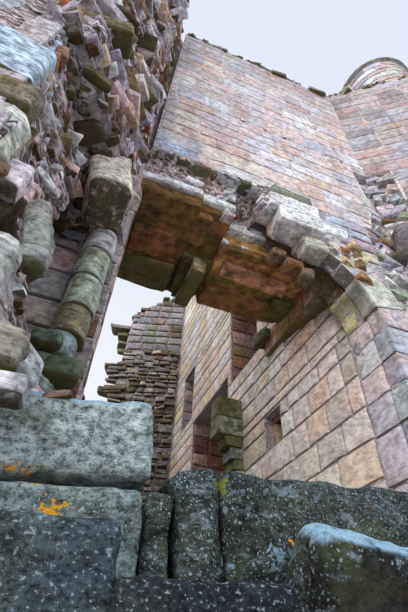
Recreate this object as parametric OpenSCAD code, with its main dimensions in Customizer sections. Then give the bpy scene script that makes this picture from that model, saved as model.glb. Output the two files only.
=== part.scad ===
// Ruined castle keep of weathered sandstone: gate wall with a broken two-order arch,
// a roofless room behind it, a torn left pier, and a stair tower with a round cap-house.
// Plan: +X runs along the gate wall to the right, +Y runs into the room, +Z is up.

/* [Gate wall] */
// Height of the wall heads above the ground
wall_top = 10960; // [9800:10:11600]
// Thickness of the gate wall
gate_wall_t = 1560; // [1400:10:1700]
// Thickness of the ashlar skin that hangs over the torn core
skin_t = 140; // [100:5:180]
// Height at which the ashlar skin is torn off over the gate
tear_z = 5740; // [5680:10:5800]
// Width of the square scaffold holes in the ashlar
socket_w = 70; // [50:5:90]

/* [Gate arch] */
// Clear width between the gate's jambs
gate_w = 2620; // [2550:10:2700]
// Span of the round arch, from the right jamb to the lost mullion
arch_span = 2160; // [2100:10:2200]
// Height of the springing line
spring_z = 3980; // [3900:10:4020]
// Depth of a voussoir from soffit to back
voussoir_h = 370; // [320:10:400]
// Thickness of the outer order, in the wall's face
outer_order_t = 190; // [160:5:210]
// Thickness of the inner order
inner_order_t = 300; // [260:5:310]
// Width of the groove between the two orders
groove_w = 22; // [16:1:30]
// Angle over the springing at which the outer order is broken off
outer_break = 60; // [56:1:64]
// Angle over the springing at which the inner order is broken off
inner_break = 35; // [30:1:37]

/* [Lintels] */
// Height of the flat soffit behind the arch
soffit_z = 5190; // [5180:5:5200]
// Thickness of a lintel slab
slab_t = 260; // [220:10:300]
// Depth that the mullion stub hangs below the soffit
stub_drop = 190; // [150:10:220]

/* [Room] */
// Distance from the left jamb to the inner face of the right wall
room_right = 2400; // [2350:10:2450]
// Distance from the left jamb back to the inner face of the left wall
room_left = 2000; // [1800:50:2200]
// Depth of the room along the right wall, from the gate wall's inner face
room_depth = 5340; // [5200:10:5600]
// Thickness of the side walls
side_wall_t = 1600; // [1500:50:1700]
// Thickness of the back wall
back_wall_t = 1200; // [1100:50:1300]
// Angle by which the back wall runs off square
back_skew = 17.7; // [14:0.1:20]

/* [Left pier] */
// Distance that the left pier stands in front of the gate wall
pier_out = 1320; // [1200:10:1400]
// Bands of masonry in the torn corner
pier_bands = 15; // [12:1:18]

/* [Stair tower] */
// Length of the canted wall
canted_l = 2700; // [2500:50:2900]
// Angle of the canted wall to the gate wall
canted_angle = 35.3; // [32:0.1:38]
// Thickness of the tower walls
tower_t = 400; // [350:10:450]
// Outer radius of the round cap-house
cap_r = 850; // [800:10:900]
// Height of the cap-house wall over the wall heads
cap_h = 2300; // [2100:50:2500]

/* [Low wall] */
// Height of the broken low wall in front of the gate
low_wall_h = 1900; // [1800:10:2000]
// Thickness of the low wall
low_wall_t = 450; // [400:10:550]

/* [Hidden] */

// The working origin is the foot of the left jamb line; the gate wall's face is at gate_y.
gate_y = 2200;
gate_back = gate_y + gate_wall_t;
haunch_t = 240;
shaft_r = 118;
order_back = gate_y + outer_order_t + groove_w + inner_order_t;
arch_r = arch_span / 2;
arch_x = gate_w - arch_r;
ring_r = arch_r + voussoir_h;
// Where the back of the ring meets the jamb's line.
seat_angle = acos(arch_r / ring_r);
groove_d = 45;
// Where the broken end of the inner order crosses the jamb's line.
seat_z = spring_z + arch_r * tan(inner_break);
haunch_x = arch_x + 60;
// Height up to which the facing is torn off in the corner beside the stair tower, and its depth.
corner_tear = 7420;
tear_d = 140;
corner_x = 3300;
left_out = -room_left - side_wall_t;
right_out = room_right + side_wall_t;
pier_y = gate_y - pier_out;
pier_back = gate_y + 200;
slab_top = soffit_z + slab_t;
slab_split = 1110;
bearing = 250;
hearth_y = 5560;
// The left pier's whole foot, and the height where its torn corner takes over from the jamb.
base_h = 2180;
upper_z = 4200;
shaft_foot = 2500;
// Bands of one piece overlap by this much.
lap = 1;
// Front face of the low wall.
low_y = pier_y + 220;
head_z = tear_z + 60;

// Corners of the stair tower, from the corner with the gate wall round to the room's right wall.
tower_front_l = 1500;
tower_front_angle = 50;
tower_side_l = 1300;
tower_chamfer = 760;
canted_end = [corner_x + canted_l * cos(canted_angle), gate_y - canted_l * sin(canted_angle)];
tower_2 = canted_end + tower_front_l * [cos(tower_front_angle), sin(tower_front_angle)];
tower_3 = tower_2 + [0, tower_side_l];
tower_4 = tower_3 + [-tower_chamfer, tower_chamfer];
tower_5 = [right_out, tower_4[1]];
cap_x = corner_x + 2000;
cap_y = gate_y + 40;
cap_t = 250;
string_h = 120;
roof_t = 300;

// The back wall's inner face, as a height in plan over x.
back_at_room = gate_back + room_depth;
function back_y(x) = back_at_room + (room_right - x) * tan(back_skew);
back_out = back_wall_t / cos(back_skew);

side_gap = right_out - corner_x;

// The part's origin is under the middle of its box.
mid_x = (left_out + tower_2[0]) / 2;
mid_y = (canted_end[1] + back_y(left_out) + back_out) / 2;

// Middles of the scaffold holes in the ashlar over the gate, along the wall and up, and their depth.
sockets = [[1170, 7620], [1560, 7620], [1890, 7620], [2270, 7620], [2620, 7620], [2930, 7620],
           [500, 8600], [1150, 8600], [1900, 8600], [2600, 8600], [1600, 9700], [2150, 9400]];
socket_d = 110;
// At least this much of the skin stays behind a scaffold hole.
socket_back = 20;

// Lintels: how far the left and the middle slab lie behind the wall's face, where the left slab
// ends, where the right pair is split, and how much higher the middle slab sits.
left_lintel_in = 170;
middle_lintel_in = 235;
left_lintel_end = 700;
right_split_y = gate_y + 1030;
middle_lift = 90;
corbel_h = 350;
corbel_out = 70;
corbel_end_y = 4100;

// Openings in the side walls, each as its near and far y and its foot and head z.
small_window = [3980, 4385, 3550, 4020];
window_rim = 70;
embrasure = [4450, 5480, 5230, 7030];
embrasure_d = 900;
embrasure_light = [4750, 5100, 5300, 6600];
hearth_recess = [hearth_y + 90, 7470, -1, 5450];
hearth_d = 800;
hearth_end_y = 7560;
far_window = [7660, 8380, 5650, 7050];
left_windows = [[5000, 5500, 5000, 6100], [5050, 5450, 2300, 3100]];
left_split_y = 6900;

// The pier beside the hearth: where it starts, its width and its top.
hearth_pier_y = 5050;
hearth_pier_w = 290;
hearth_pier_top = 4650;

// Doors and lights of the stair tower.
tower_door = [[4450, 3000, -1], [5250, 5000, 2000]];
slit_w = 180;
slit_h = 800;
cap_door_w = 600;
cap_door_h = 1750;

pink = [0.79, 0.67, 0.61];
buff = [0.80, 0.70, 0.58];
grey = [0.66, 0.64, 0.61];
mauve = [0.60, 0.53, 0.51];
brown = [0.45, 0.33, 0.25];
moss = [0.42, 0.43, 0.33];
slate = [0.45, 0.48, 0.47];

module in_plan() {
    translate([-mid_x, -mid_y, 0]) children();
}

// A block between two opposite corners.
module block(low, high) {
    translate(low) cube(high - low);
}

// A sheet of wall: its outline is given in x and z, and it runs back from y.
module sheet(outline, y, t) {
    translate([0, y + t, 0]) rotate([90, 0, 0]) linear_extrude(t) polygon(outline);
}

// The same for a wall that runs along y: the outline is given in y and z, from x to x + t.
module side_sheet(outline, x, t) {
    translate([x, 0, 0]) rotate([90, 0, 90]) linear_extrude(t) polygon(outline);
}

// A broken edge as stone-high steps from one point to another, jag millimetres rough.
function broken(from, to, steps, jag, seed) =
    let (r = rands(-jag, jag, steps, seed))
    [for (i = [0:steps - 1], k = [0, 1])
        let (t = (i + k) / steps, h = (i + 0.5) / steps)
        [from[0] + (to[0] - from[0]) * t, from[1] + (to[1] - from[1]) * h + r[i]]];

// The same for an edge that is mostly upright: the steps push in and out level by level.
function tusked(from, to, steps, jag, seed) =
    let (r = rands(-jag, jag, steps, seed))
    [for (i = [0:steps - 1], k = [0, 1])
        let (t = (i + k) / steps, h = (i + 0.5) / steps)
        [from[0] + (to[0] - from[0]) * h + r[i], from[1] + (to[1] - from[1]) * t]];

// Gate wall

module gate_wall_left() {
    color(mauve) in_plan()
        sheet(concat([[0, 0], [left_out, 0]],
                     broken([left_out, wall_top - 1500], [0, wall_top - 150], 9, 130, 11),
                     [[0, slab_top], [-bearing, slab_top], [-bearing, soffit_z], [0, soffit_z]]),
              pier_back, gate_back - pier_back);
}

// The ashlar skin over the gate, torn off level along its lower edge, with scaffold holes in it.
module gate_wall_skin() {
    color(pink) in_plan()
        difference() {
            sheet(concat([[0, tear_z], [haunch_x, tear_z], [haunch_x, head_z], [corner_x - 330, head_z],
                          [corner_x - 150, 6500], [corner_x - 230, corner_tear], [corner_x, corner_tear]],
                         broken([corner_x, wall_top - 30], [0, wall_top - 30], 7, 25, 5)),
                  gate_y, skin_t);
            for (at = sockets)
                translate([at[0] - socket_w / 2, gate_y - 1, at[1] - socket_w / 2])
                    cube([socket_w, min(socket_d, skin_t - socket_back) + 1, socket_w]);
        }
}

// Rubble core bared between the torn skin and the lintels; its face slopes back as it comes down.
module gate_wall_core() {
    color(mauve) in_plan() {
        left_face = [[gate_y + 190, slab_top], [gate_y + skin_t, head_z], [gate_back, head_z],
                     [gate_back, slab_top]];
        right_face = [[gate_y + 560, slab_top], [gate_y + 360, slab_top + 190], [gate_y + haunch_t, head_z],
                      [gate_back, head_z], [gate_back, slab_top]];
        side_sheet(left_face, 0, slab_split);
        side_sheet(right_face, slab_split, haunch_x - slab_split);
        block([haunch_x, gate_y + haunch_t, slab_top], [gate_w, gate_back, head_z]);
    }
}

module gate_wall_head() {
    color(mauve) in_plan()
        difference() {
            sheet(concat([[0, head_z], [right_out, head_z]],
                         broken([right_out, wall_top - 60], [0, wall_top - 60], 8, 25, 8)),
                  gate_y + skin_t, gate_wall_t - skin_t);
            block([corner_x, gate_y, head_z - 1], [right_out + 1, order_back, wall_top + 100]);
        }
}

// A point of the arch, and a run of points, at a radius and angles over the springing.
function on_arch(r, angle) = [arch_x + r * cos(angle), spring_z + r * sin(angle)];
function along_arch(r, from, to, steps) =
    [for (i = [0:steps]) on_arch(r, from + (to - from) * i / steps)];

// The pier has a round seat for the arch stones, and the groove between the orders runs down its face.
module gate_pier_right() {
    groove_y = gate_y + outer_order_t;
    color(buff) in_plan()
        difference() {
            sheet(concat([[gate_w, 0], [corner_x, 0], [corner_x, head_z], [gate_w, head_z]],
                         along_arch(ring_r, seat_angle, 0, 14), [[gate_w, spring_z]]),
                  gate_y, order_back - gate_y);
            block([gate_w - 1, groove_y, -1], [gate_w + groove_d, groove_y + groove_w, spring_z]);
            block([corner_x - 430, gate_y - 1, 3300], [corner_x + 1, gate_y + tear_d - 20, head_z + 1]);
        }
}

// The pier's deeper part: below the lintels its face splays from the jamb to the room's wall.
module gate_pier_back() {
    color(buff) in_plan() {
        linear_extrude(soffit_z)
            polygon([[gate_w, order_back], [right_out, order_back], [right_out, gate_back],
                     [room_right, gate_back]]);
        block([gate_w, order_back, soffit_z - lap], [right_out, gate_back, head_z]);
    }
}

// Part of a ring of arch stones, from the springing up to an angle. Every other stone is a little
// shorter at its back, as such stones are.
module arch_ring(y, t, last) {
    stone_w = 300;
    back_step = 30;
    stones = round(last * (arch_r + voussoir_h / 2) * PI / 180 / stone_w);
    step = last / stones;
    backs = [for (i = [stones - 1:-1:0])
        each along_arch(ring_r - (i % 2) * back_step, step * (i + 1), step * i, 4)];
    sheet(concat(along_arch(arch_r, 0, last, 4 * stones), backs), y, t);
}

module arch_outer_order() {
    color(grey) in_plan() arch_ring(gate_y, outer_order_t, outer_break);
}

module arch_inner_order() {
    color(buff) in_plan() arch_ring(gate_y + outer_order_t + groove_w, inner_order_t, inner_break);
}

// Facing left over the arch's haunch, with the stepped ends of its courses.
module arch_haunch() {
    color(grey) in_plan()
        sheet(concat([[gate_w, head_z], [haunch_x, head_z], [haunch_x, tear_z], [arch_x - 160, tear_z],
                      [arch_x - 160, 5390], [arch_x - 10, 5390], [arch_x - 10, 5190], [arch_x + 290, 5190],
                      [arch_x + 290, 4980], on_arch(arch_r, outer_break)],
                     along_arch(ring_r, outer_break, seat_angle, 5)),
              gate_y, haunch_t);
}

// Rough backing behind the haunch, over the inner order.
module haunch_core() {
    color(mauve) in_plan()
        sheet([[gate_w, slab_top], [arch_x + 20, slab_top], [arch_x + 100, 5300], [arch_x + 360, 5190],
               [arch_x + 560, 5040], on_arch(arch_r + 60, inner_break + 6), on_arch(arch_r, inner_break),
               [gate_w, seat_z]],
              gate_y + haunch_t, order_back - gate_y - haunch_t);
}

// Six rounded stones that stood under the arch's left end.
module jamb_shaft() {
    heights = [260, 190, 240, 310, 310, 270];
    shifts = [-75, -35, 0, 8, 0, 8];
    function foot(i) = i == 0 ? shaft_foot : foot(i - 1) + heights[i - 1];
    color(moss) in_plan()
        for (i = [0:5])
            translate([-190 + shifts[i], pier_back - 110, foot(i)])
                linear_extrude(heights[i])
                    union() {
                        circle(r = shaft_r, $fn = 40);
                        translate([-shaft_r, 0]) square([2 * shaft_r, 110]);
                    }
}

// Lintels

module lintel_left() {
    color(brown) in_plan() {
        block([0, gate_y + left_lintel_in, soffit_z], [left_lintel_end, gate_back, slab_top]);
        block([-bearing, pier_back, soffit_z], [0, gate_back, slab_top]);
    }
}

module lintel_middle() {
    color(brown) in_plan()
        block([left_lintel_end, gate_y + middle_lintel_in, soffit_z + middle_lift],
              [slab_split, gate_back, slab_top]);
}

module lintel_right_front() {
    color(brown) in_plan() block([slab_split, order_back, soffit_z], [gate_w, right_split_y, slab_top]);
}

module lintel_right_back() {
    color(brown) in_plan() block([slab_split, right_split_y, soffit_z], [gate_w, gate_back - 20, slab_top]);
}

// The head of a broken mullion under the middle slab, chamfered on its left.
module mullion_stub() {
    low = soffit_z - stub_drop;
    stub_in = 900;
    color(moss) in_plan()
        sheet([[left_lintel_end, soffit_z + middle_lift], [left_lintel_end, soffit_z - 20], [835, low],
               [1020, low], [1020, soffit_z], [slab_split, soffit_z], [slab_split, soffit_z + middle_lift]],
              gate_y + stub_in, gate_wall_t - stub_in);
}

// A long corbel under the lintels' right ends; its back follows the splayed face.
module corbel_band() {
    corbel_x = room_right - corbel_out;
    color(moss) in_plan()
        translate([0, 0, soffit_z - corbel_h])
            linear_extrude(corbel_h)
                polygon([[corbel_x, order_back], [gate_w, order_back], [room_right, gate_back],
                         [room_right, corbel_end_y], [corbel_x, corbel_end_y]]);
}

// Room walls

// An opening from x0 to x1 in a wall that runs along y.
module opening(span, x0, x1) {
    block([x0, span[0], span[2]], [x1, span[1], span[3]]);
}

// Front length of the right wall: the small window, and a tall embrasure with a narrower light behind it.
module right_wall_front() {
    color(pink) in_plan()
        difference() {
            side_sheet(concat([[gate_back, 0]],
                              broken([gate_back, wall_top - 60], [hearth_y, wall_top - 250], 5, 60, 21),
                              [[hearth_y, 0]]),
                       room_right, side_wall_t);
            opening(small_window, room_right - 1, right_out + 1);
            opening(embrasure, room_right - 1, room_right + embrasure_d);
            opening(embrasure_light, room_right, right_out + 1);
        }
}

// Middle length: a wide hearth recess with a level head.
module right_wall_hearth() {
    color(buff) in_plan()
        difference() {
            side_sheet(concat([[hearth_y, 0]],
                              broken([hearth_y, wall_top - 300], [hearth_end_y, wall_top - 380], 4, 70, 22),
                              [[hearth_end_y, 0]]),
                       room_right, side_wall_t);
            opening(hearth_recess, room_right - 1, room_right + hearth_d);
        }
}

module right_wall_back() {
    color(pink) in_plan()
        difference() {
            linear_extrude(wall_top - 300)
                polygon([[room_right, hearth_end_y], [right_out, hearth_end_y],
                         [right_out, back_y(right_out)], [room_right, back_at_room]]);
            opening(far_window, room_right - 1, right_out + 1);
        }
}

// A corbelled pier beside the hearth: it steps back to the wall as it comes down.
module hearth_pier() {
    color(moss) in_plan()
        sheet([[room_right, 0], [room_right, hearth_pier_top], [room_right - 410, hearth_pier_top],
               [room_right - 410, 4050],
               [room_right - 290, 3960], [room_right - 235, 3880], [room_right - 200, 3700],
               [room_right - 130, 3560], [room_right - 130, 0]],
              hearth_pier_y, hearth_pier_w);
}

// A thinner frame of four stones inside the small window.
module window_surround() {
    color(buff) in_plan()
        difference() {
            opening(small_window, room_right + 120, room_right + 260);
            opening(small_window + window_rim * [1, -1, 1, -1], room_right, room_right + 400);
        }
}

// The back wall runs skew; each length of it is drawn square, turned about the room's right corner,
// and ends in line with the side walls' outer faces.
module back_wall_piece(outline) {
    intersection() {
        translate([room_right, back_at_room, 0])
            rotate([0, 0, -back_skew])
                sheet(outline, 0, back_wall_t);
        block([left_out, 0, -1], [right_out, 20000, wall_top + 1]);
    }
}

module back_wall_tall() {
    color(grey) in_plan()
        back_wall_piece(concat([[3000, 0]],
                               broken([3000, wall_top - 200], [-700, wall_top - 380], 6, 50, 31),
                               broken([-800, wall_top - 420], [-1560, wall_top - 1400], 5, 50, 32),
                               tusked([-1640, wall_top - 1600], [-1760, 4200], 11, 110, 33),
                               [[-1750, 0]]));
}

module back_wall_low() {
    run = (room_right - left_out) / cos(back_skew) + 500;
    color(mauve) in_plan()
        back_wall_piece(concat([[-1750, 0]], broken([-1750, 4100], [-3900, 2300], 7, 130, 34),
                               broken([-3900, 2300], [-run, 3400], 6, 130, 35), [[-run, 0]]));
}

module left_wall_front() {
    color(pink) in_plan()
        difference() {
            side_sheet(concat([[gate_back, 0]],
                              broken([gate_back, wall_top - 1650], [left_split_y, 7000], 6, 160, 41),
                              [[left_split_y, 0]]),
                       left_out, side_wall_t);
            for (window = left_windows)
                opening(window, left_out - 1, 1 - room_left);
        }
}

module left_wall_back() {
    end_y = back_y(left_out);
    color(grey) in_plan()
        intersection() {
            side_sheet(concat([[left_split_y, 0]], broken([left_split_y, 6800], [end_y, 3500], 8, 150, 42),
                              [[end_y, 0]]),
                       left_out, side_wall_t);
            translate([0, 0, -1])
                linear_extrude(wall_top)
                    polygon([[left_out, left_split_y], [-room_left, left_split_y],
                             [-room_left, back_y(-room_left)], [left_out, end_y]]);
        }
}

// Left pier

// Plan of the pier's torn right side at one band: the corner is bitten off slantwise.
function pier_plan(left, bite, edge, r) =
    [[left, pier_back], [left, pier_y], [-bite + r[0], pier_y + 20], [-bite * 0.72 + r[1], pier_y + 330],
     [-bite * 0.45 + r[2], pier_y + 640], [edge - 160 + r[3] / 2, pier_y + 960],
     [edge + r[4] / 3, gate_y + 60], [0, pier_back]];

// Plans of the pier's foot and of the bands under the torn corner: each is the right edge from the
// front face back to the jamb's line.
foot_edge = [[-500, pier_y], [-220, pier_y + 420], [-100, gate_y - 200], [0, gate_y]];
foot_plan = concat([[0, pier_back], [left_out, pier_back], [left_out, pier_y]], foot_edge);
low_edges = [[[-550, pier_y], [-340, pier_y + 420], [-270, gate_y - 300], [-330, pier_back]],
             [[-560, pier_y], [-550, pier_y + 420], [-420, pier_y + 720], [-600, pier_back - 450]],
             [[-620, pier_y], [-620, pier_y + 420], [-500, pier_y + 820], [-600, pier_back - 450]],
             [[-700, pier_y], [-620, pier_y + 420], [-450, pier_y + 870], [-580, pier_back - 400]]];
low_tops = [2450, 3000, 3600, upper_z];

module pier_band(edge, z0, z1) {
    translate([0, 0, z0])
        linear_extrude(z1 - z0)
            polygon(concat([[left_out, pier_back], [left_out, pier_y]], edge, [[edge[3][0], pier_back]]));
}

module left_pier_base() {
    color(slate) in_plan() {
        linear_extrude(base_h) polygon(foot_plan);
        pier_band(low_edges[0], base_h - lap, low_tops[0]);
    }
}

module left_pier_middle() {
    color(mauve) in_plan()
        for (i = [1:3])
            pier_band(low_edges[i], low_tops[i - 1] - (i > 1 ? lap : 0), low_tops[i]);
}

// The torn corner, band over band; the socket is for the squared stone.
module left_pier_upper() {
    band = (wall_top - upper_z) / pier_bands;
    color(mauve) in_plan()
        difference() {
            for (i = [0:pier_bands - 1]) {
                r = rands(-90, 90, 5, 60 + i);
                up = i / pier_bands;
                left = left_out + max(0, i - pier_bands + 4) * 430;
                translate([0, 0, upper_z + band * i])
                    linear_extrude(band + (i < pier_bands - 1 ? lap : 0))
                        polygon(pier_plan(left, 620 + 260 * up, -60 - 60 * up, r));
            }
            ledge_block();
        }
}

// A squared stone that still sticks out near the head of the torn pier.
module pier_ledge() {
    color(slate) in_plan() ledge_block();
}

module ledge_block() {
    block([-640, pier_y + 590, 8950], [-220, gate_y, 9700]);
}

// Stair tower

// One wall of the tower: its outer face runs from a to b, and its ends are mitred to the next walls.
module tower_wall(a, b, in_a, in_b, top) {
    linear_extrude(top) polygon([a, b, in_b, in_a]);
}

// Inner corners, tower_t in from each outer face.
function unit(v) = v / norm(v);
function left_of(v) = [-v[1], v[0]];
function inset(p, a, b) =
    let (u = unit(b - p), v = unit(a - p), w = unit(u + v),
         s = tower_t / norm(cross([u[0], u[1], 0], [w[0], w[1], 0])))
    p + s * w;
corner_0 = [corner_x, gate_y];
in_0 = [right_out, gate_y - side_gap * tan(canted_angle) + tower_t / cos(canted_angle)];
in_1 = inset(canted_end, corner_0, tower_2);
in_2 = inset(tower_2, canted_end, tower_3);
in_3 = inset(tower_3, tower_2, tower_4);
in_4 = inset(tower_4, tower_3, tower_5);
in_5 = [right_out, in_4[1]];

module canted_wall() {
    color(pink) in_plan()
        difference() {
            tower_wall(corner_0, canted_end, in_0, in_1, wall_top);
            canted_tear();
        }
}

// The facing that is torn off the canted wall beside the gate: higher up next to the corner.
module canted_tear() {
    translate([corner_x, gate_y, 0])
        rotate([0, 0, -canted_angle]) {
            block([-400, -1, 3300], [380, tear_d, corner_tear]);
            block([379, -1, 3100], [1500, tear_d, 6580]);
        }
}

module tower_front_wall() {
    color(pink) in_plan()
        difference() {
            tower_wall(canted_end, tower_2, in_1, in_2, wall_top - 80);
            slit(canted_end, tower_2, 2400);
            slit(canted_end, tower_2, 6600);
        }
}

module tower_side_wall() {
    color(buff) in_plan()
        difference() {
            tower_wall(tower_2, tower_3, in_2, in_3, wall_top);
            slit(tower_2, tower_3, 4500);
            slit(tower_2, tower_3, 8700);
        }
}

module tower_back_corner() {
    color(grey) in_plan() tower_wall(tower_3, tower_4, in_3, in_4, wall_top - 120);
}

// The tower's back wall has the door at the stair's foot.
module tower_back_wall() {
    color(pink) in_plan()
        difference() {
            tower_wall(tower_4, tower_5, in_4, in_5, wall_top - 60);
            block(tower_door[0], tower_door[1]);
        }
}

// The solid corner between the gate pier, the canted wall and the stair well.
module tower_inner_wall() {
    color(buff) in_plan()
        difference() {
            linear_extrude(wall_top)
                polygon([corner_0, in_0, [right_out, order_back], [corner_x, order_back]]);
            canted_tear();
        }
}

// A narrow stair light through the middle of the wall between two corners.
module slit(a, b, z) {
    m = (a + b) / 2;
    turn = atan2(b[1] - a[1], b[0] - a[0]);
    translate([m[0], m[1], z]) rotate([0, 0, turn]) translate([-slit_w / 2, -100, 0])
        cube([slit_w, tower_t + 300, slit_h]);
}

module tower_roof_slab() {
    color(slate) in_plan()
        translate([0, 0, wall_top - roof_t])
            linear_extrude(roof_t)
                difference() {
                    polygon([in_0, in_1, in_2, in_3, in_4, in_5]);
                    translate([cap_x, cap_y]) circle(r = cap_r - cap_t, $fn = 48);
                }
}

module cap_house() {
    color(grey) in_plan()
        translate([cap_x, cap_y, wall_top])
            difference() {
                cylinder(r = cap_r, h = cap_h, $fn = 72);
                translate([0, 0, -1]) cylinder(r = cap_r - cap_t, h = cap_h + 2, $fn = 72);
                translate([-cap_door_w / 2, 0, -1]) cube([cap_door_w, cap_r * 2, cap_door_h]);
            }
}

module cap_string() {
    color(grey) in_plan()
        translate([cap_x, cap_y, wall_top + cap_h])
            difference() {
                cylinder(r = cap_r + 60, h = string_h, $fn = 72);
                translate([0, 0, -1]) cylinder(r = cap_r - cap_t, h = string_h + 2, $fn = 72);
            }
}

module cap_dome() {
    rise = 420;
    dome_r = (cap_r * cap_r + rise * rise) / (2 * rise);
    color(moss) in_plan()
        translate([cap_x, cap_y, wall_top + cap_h + string_h])
            rotate_extrude($fn = 72)
                intersection() {
                    translate([0, rise - dome_r]) circle(r = dome_r, $fn = 180);
                    square([cap_r, rise]);
                }
}

// Low wall in front of the gate, left standing from a fallen front wall, and a step of three stones

module low_wall_part(points) {
    difference() {
        sheet(concat([[points[0][0], 0]], points, [[points[len(points) - 1][0], 0]]), low_y, low_wall_t);
        translate([0, 0, -1]) linear_extrude(low_wall_h + 200) polygon(foot_plan);
        translate([0, 0, -1]) linear_extrude(low_wall_h + 200) polygon([corner_0, canted_end, in_1, in_0]);
    }
}

module low_wall_left() {
    color(slate) in_plan() low_wall_part(broken([-680, low_wall_h - 90], [240, low_wall_h + 20], 3, 12, 71));
}

module low_wall_middle() {
    color(slate) in_plan() low_wall_part(broken([240, low_wall_h - 200], [450, low_wall_h - 125], 2, 8, 72));
}

module low_wall_right() {
    color(slate) in_plan()
        low_wall_part(concat(broken([450, low_wall_h - 118], [1350, low_wall_h - 25], 3, 8, 73),
                             broken([1360, low_wall_h - 40], [4740, low_wall_h - 450], 8, 40, 74)));
}

// Each stone of the step is given by its left and right ends and its height.
module front_step() {
    stones = [[-900, 125, 1490], [133, 467, 1455], [475, 1290, 1550]];
    color(slate) in_plan()
        difference() {
            for (stone = stones)
                block([stone[0], pier_y - 130, 0], [stone[1], low_y, stone[2]]);
            translate([0, 0, -1]) linear_extrude(low_wall_h) polygon(foot_plan);
        }
}

gate_wall_left();
gate_wall_skin();
gate_wall_core();
gate_wall_head();
gate_pier_right();
gate_pier_back();
arch_outer_order();
arch_inner_order();
arch_haunch();
haunch_core();
jamb_shaft();
lintel_left();
lintel_middle();
lintel_right_front();
lintel_right_back();
mullion_stub();
corbel_band();
right_wall_front();
right_wall_hearth();
right_wall_back();
hearth_pier();
window_surround();
back_wall_tall();
back_wall_low();
left_wall_front();
left_wall_back();
left_pier_base();
left_pier_middle();
left_pier_upper();
pier_ledge();
canted_wall();
tower_front_wall();
tower_side_wall();
tower_back_corner();
tower_back_wall();
tower_inner_wall();
tower_roof_slab();
cap_house();
cap_string();
cap_dome();
low_wall_left();
low_wall_middle();
low_wall_right();
front_step();
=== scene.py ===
# %% [markdown]
# # A ruined castle keep in weathered sandstone
# The CAD model gives every wall its real size and place. Here it becomes the rubble and mortar
# behind the face, and every stone that the eye can tell apart is laid on it as its own closed
# shape. Numbers are in metres. Most shapes are worked out in *site coordinates*: x runs along the
# gate wall from its left jamb, y runs into the room from where the camera stands, z is up.

# %% Load the frame
import math

import bpy
import numpy as np
from mathutils import Matrix, Vector
from mathutils.bvhtree import BVHTree


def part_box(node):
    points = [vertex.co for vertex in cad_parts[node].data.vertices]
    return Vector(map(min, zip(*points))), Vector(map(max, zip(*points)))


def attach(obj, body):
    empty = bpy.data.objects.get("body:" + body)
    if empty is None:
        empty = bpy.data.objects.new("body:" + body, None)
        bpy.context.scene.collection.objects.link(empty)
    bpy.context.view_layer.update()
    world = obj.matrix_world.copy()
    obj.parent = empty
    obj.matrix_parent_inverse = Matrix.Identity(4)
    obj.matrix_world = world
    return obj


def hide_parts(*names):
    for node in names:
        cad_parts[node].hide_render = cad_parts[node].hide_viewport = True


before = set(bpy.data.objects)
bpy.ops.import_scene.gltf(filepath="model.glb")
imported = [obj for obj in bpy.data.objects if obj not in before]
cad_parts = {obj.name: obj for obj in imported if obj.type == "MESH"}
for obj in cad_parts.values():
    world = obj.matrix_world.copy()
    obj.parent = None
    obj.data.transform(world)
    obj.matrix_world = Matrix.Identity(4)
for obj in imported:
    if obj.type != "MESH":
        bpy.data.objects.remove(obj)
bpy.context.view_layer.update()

# %% [markdown]
# ## Site coordinates and the camera
# The gate wall's face stands 2.2 m in front of the eye. Knowing that, one corner of one node ties
# the site coordinates to the frame. The camera's direction came from the wall lines' vanishing
# points, as pitch, roll and heading. Building the matrix from its three axes keeps each of those
# angles readable.

# %% Camera
FACE_Y = 2.2
EYE_Z = 1.3
PHOTO_W, PHOTO_H, FOCAL_PX = 408, 612, 405
PITCH, ROLL, HEADING = (math.radians(angle) for angle in (44.0, -3.4, 71.7))
skin_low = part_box("gate_wall_skin")[0]
SHIFT = np.array([skin_low.x, skin_low.y - FACE_Y, 0.0])
UP = np.array([0.0, 0.0, 1.0])


def camera_axes():
    """Right, down and forward of the eye in site coordinates: a level eye is pitched up, rolled
    about its own line of sight, and turned by the heading about the vertical."""
    forward = np.array([0, math.cos(PITCH), math.sin(PITCH)])
    right = np.array([1.0, 0, 0])
    down = np.cross(forward, right)
    rolled = (math.cos(ROLL) * right + math.sin(ROLL) * down,
              math.cos(ROLL) * down - math.sin(ROLL) * right, forward)
    along = np.array([math.sin(HEADING), math.cos(HEADING), 0])
    inward = np.array([-math.cos(HEADING), math.sin(HEADING), 0])
    return [np.array([along @ v, inward @ v, v[2]]) for v in rolled]


EYE_RIGHT, EYE_DOWN, EYE_FORWARD = camera_axes()
EYE = np.array([0, 0, EYE_Z])


def placed(name, data):
    """An object with that data, linked into the scene."""
    thing = bpy.data.objects.new(name, data)
    bpy.context.scene.collection.objects.link(thing)
    return thing


def sight(px, py):
    """Unit direction from the eye through a point of the picture."""
    ray = (px - PHOTO_W / 2) * EYE_RIGHT + (py - PHOTO_H / 2) * EYE_DOWN + FOCAL_PX * EYE_FORWARD
    return ray / np.linalg.norm(ray)


cam_data = bpy.data.cameras.new("camera")
cam_data.sensor_fit = "VERTICAL"
cam_data.sensor_height = 36
cam_data.lens = cam_data.sensor_height * FOCAL_PX / PHOTO_H
camera = bpy.context.scene.camera = placed("camera", cam_data)
camera.matrix_world = Matrix(np.array([EYE_RIGHT, -EYE_DOWN, -EYE_FORWARD]).T.tolist()).to_4x4()
camera.location = Vector(EYE + SHIFT)
print("camera at", np.round(camera.location, 3), "lens", round(cam_data.lens, 2))

# %% [markdown]
# ## Feeling for the CAD faces
# A stone has to sit on the wall that carries it, and stop where the wall is broken or has a
# window. Instead of repeating every outline here, a tree of all CAD faces is probed with rays: a
# stone is laid only where a ray meets the wall's face at the depth that it should have.

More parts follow.
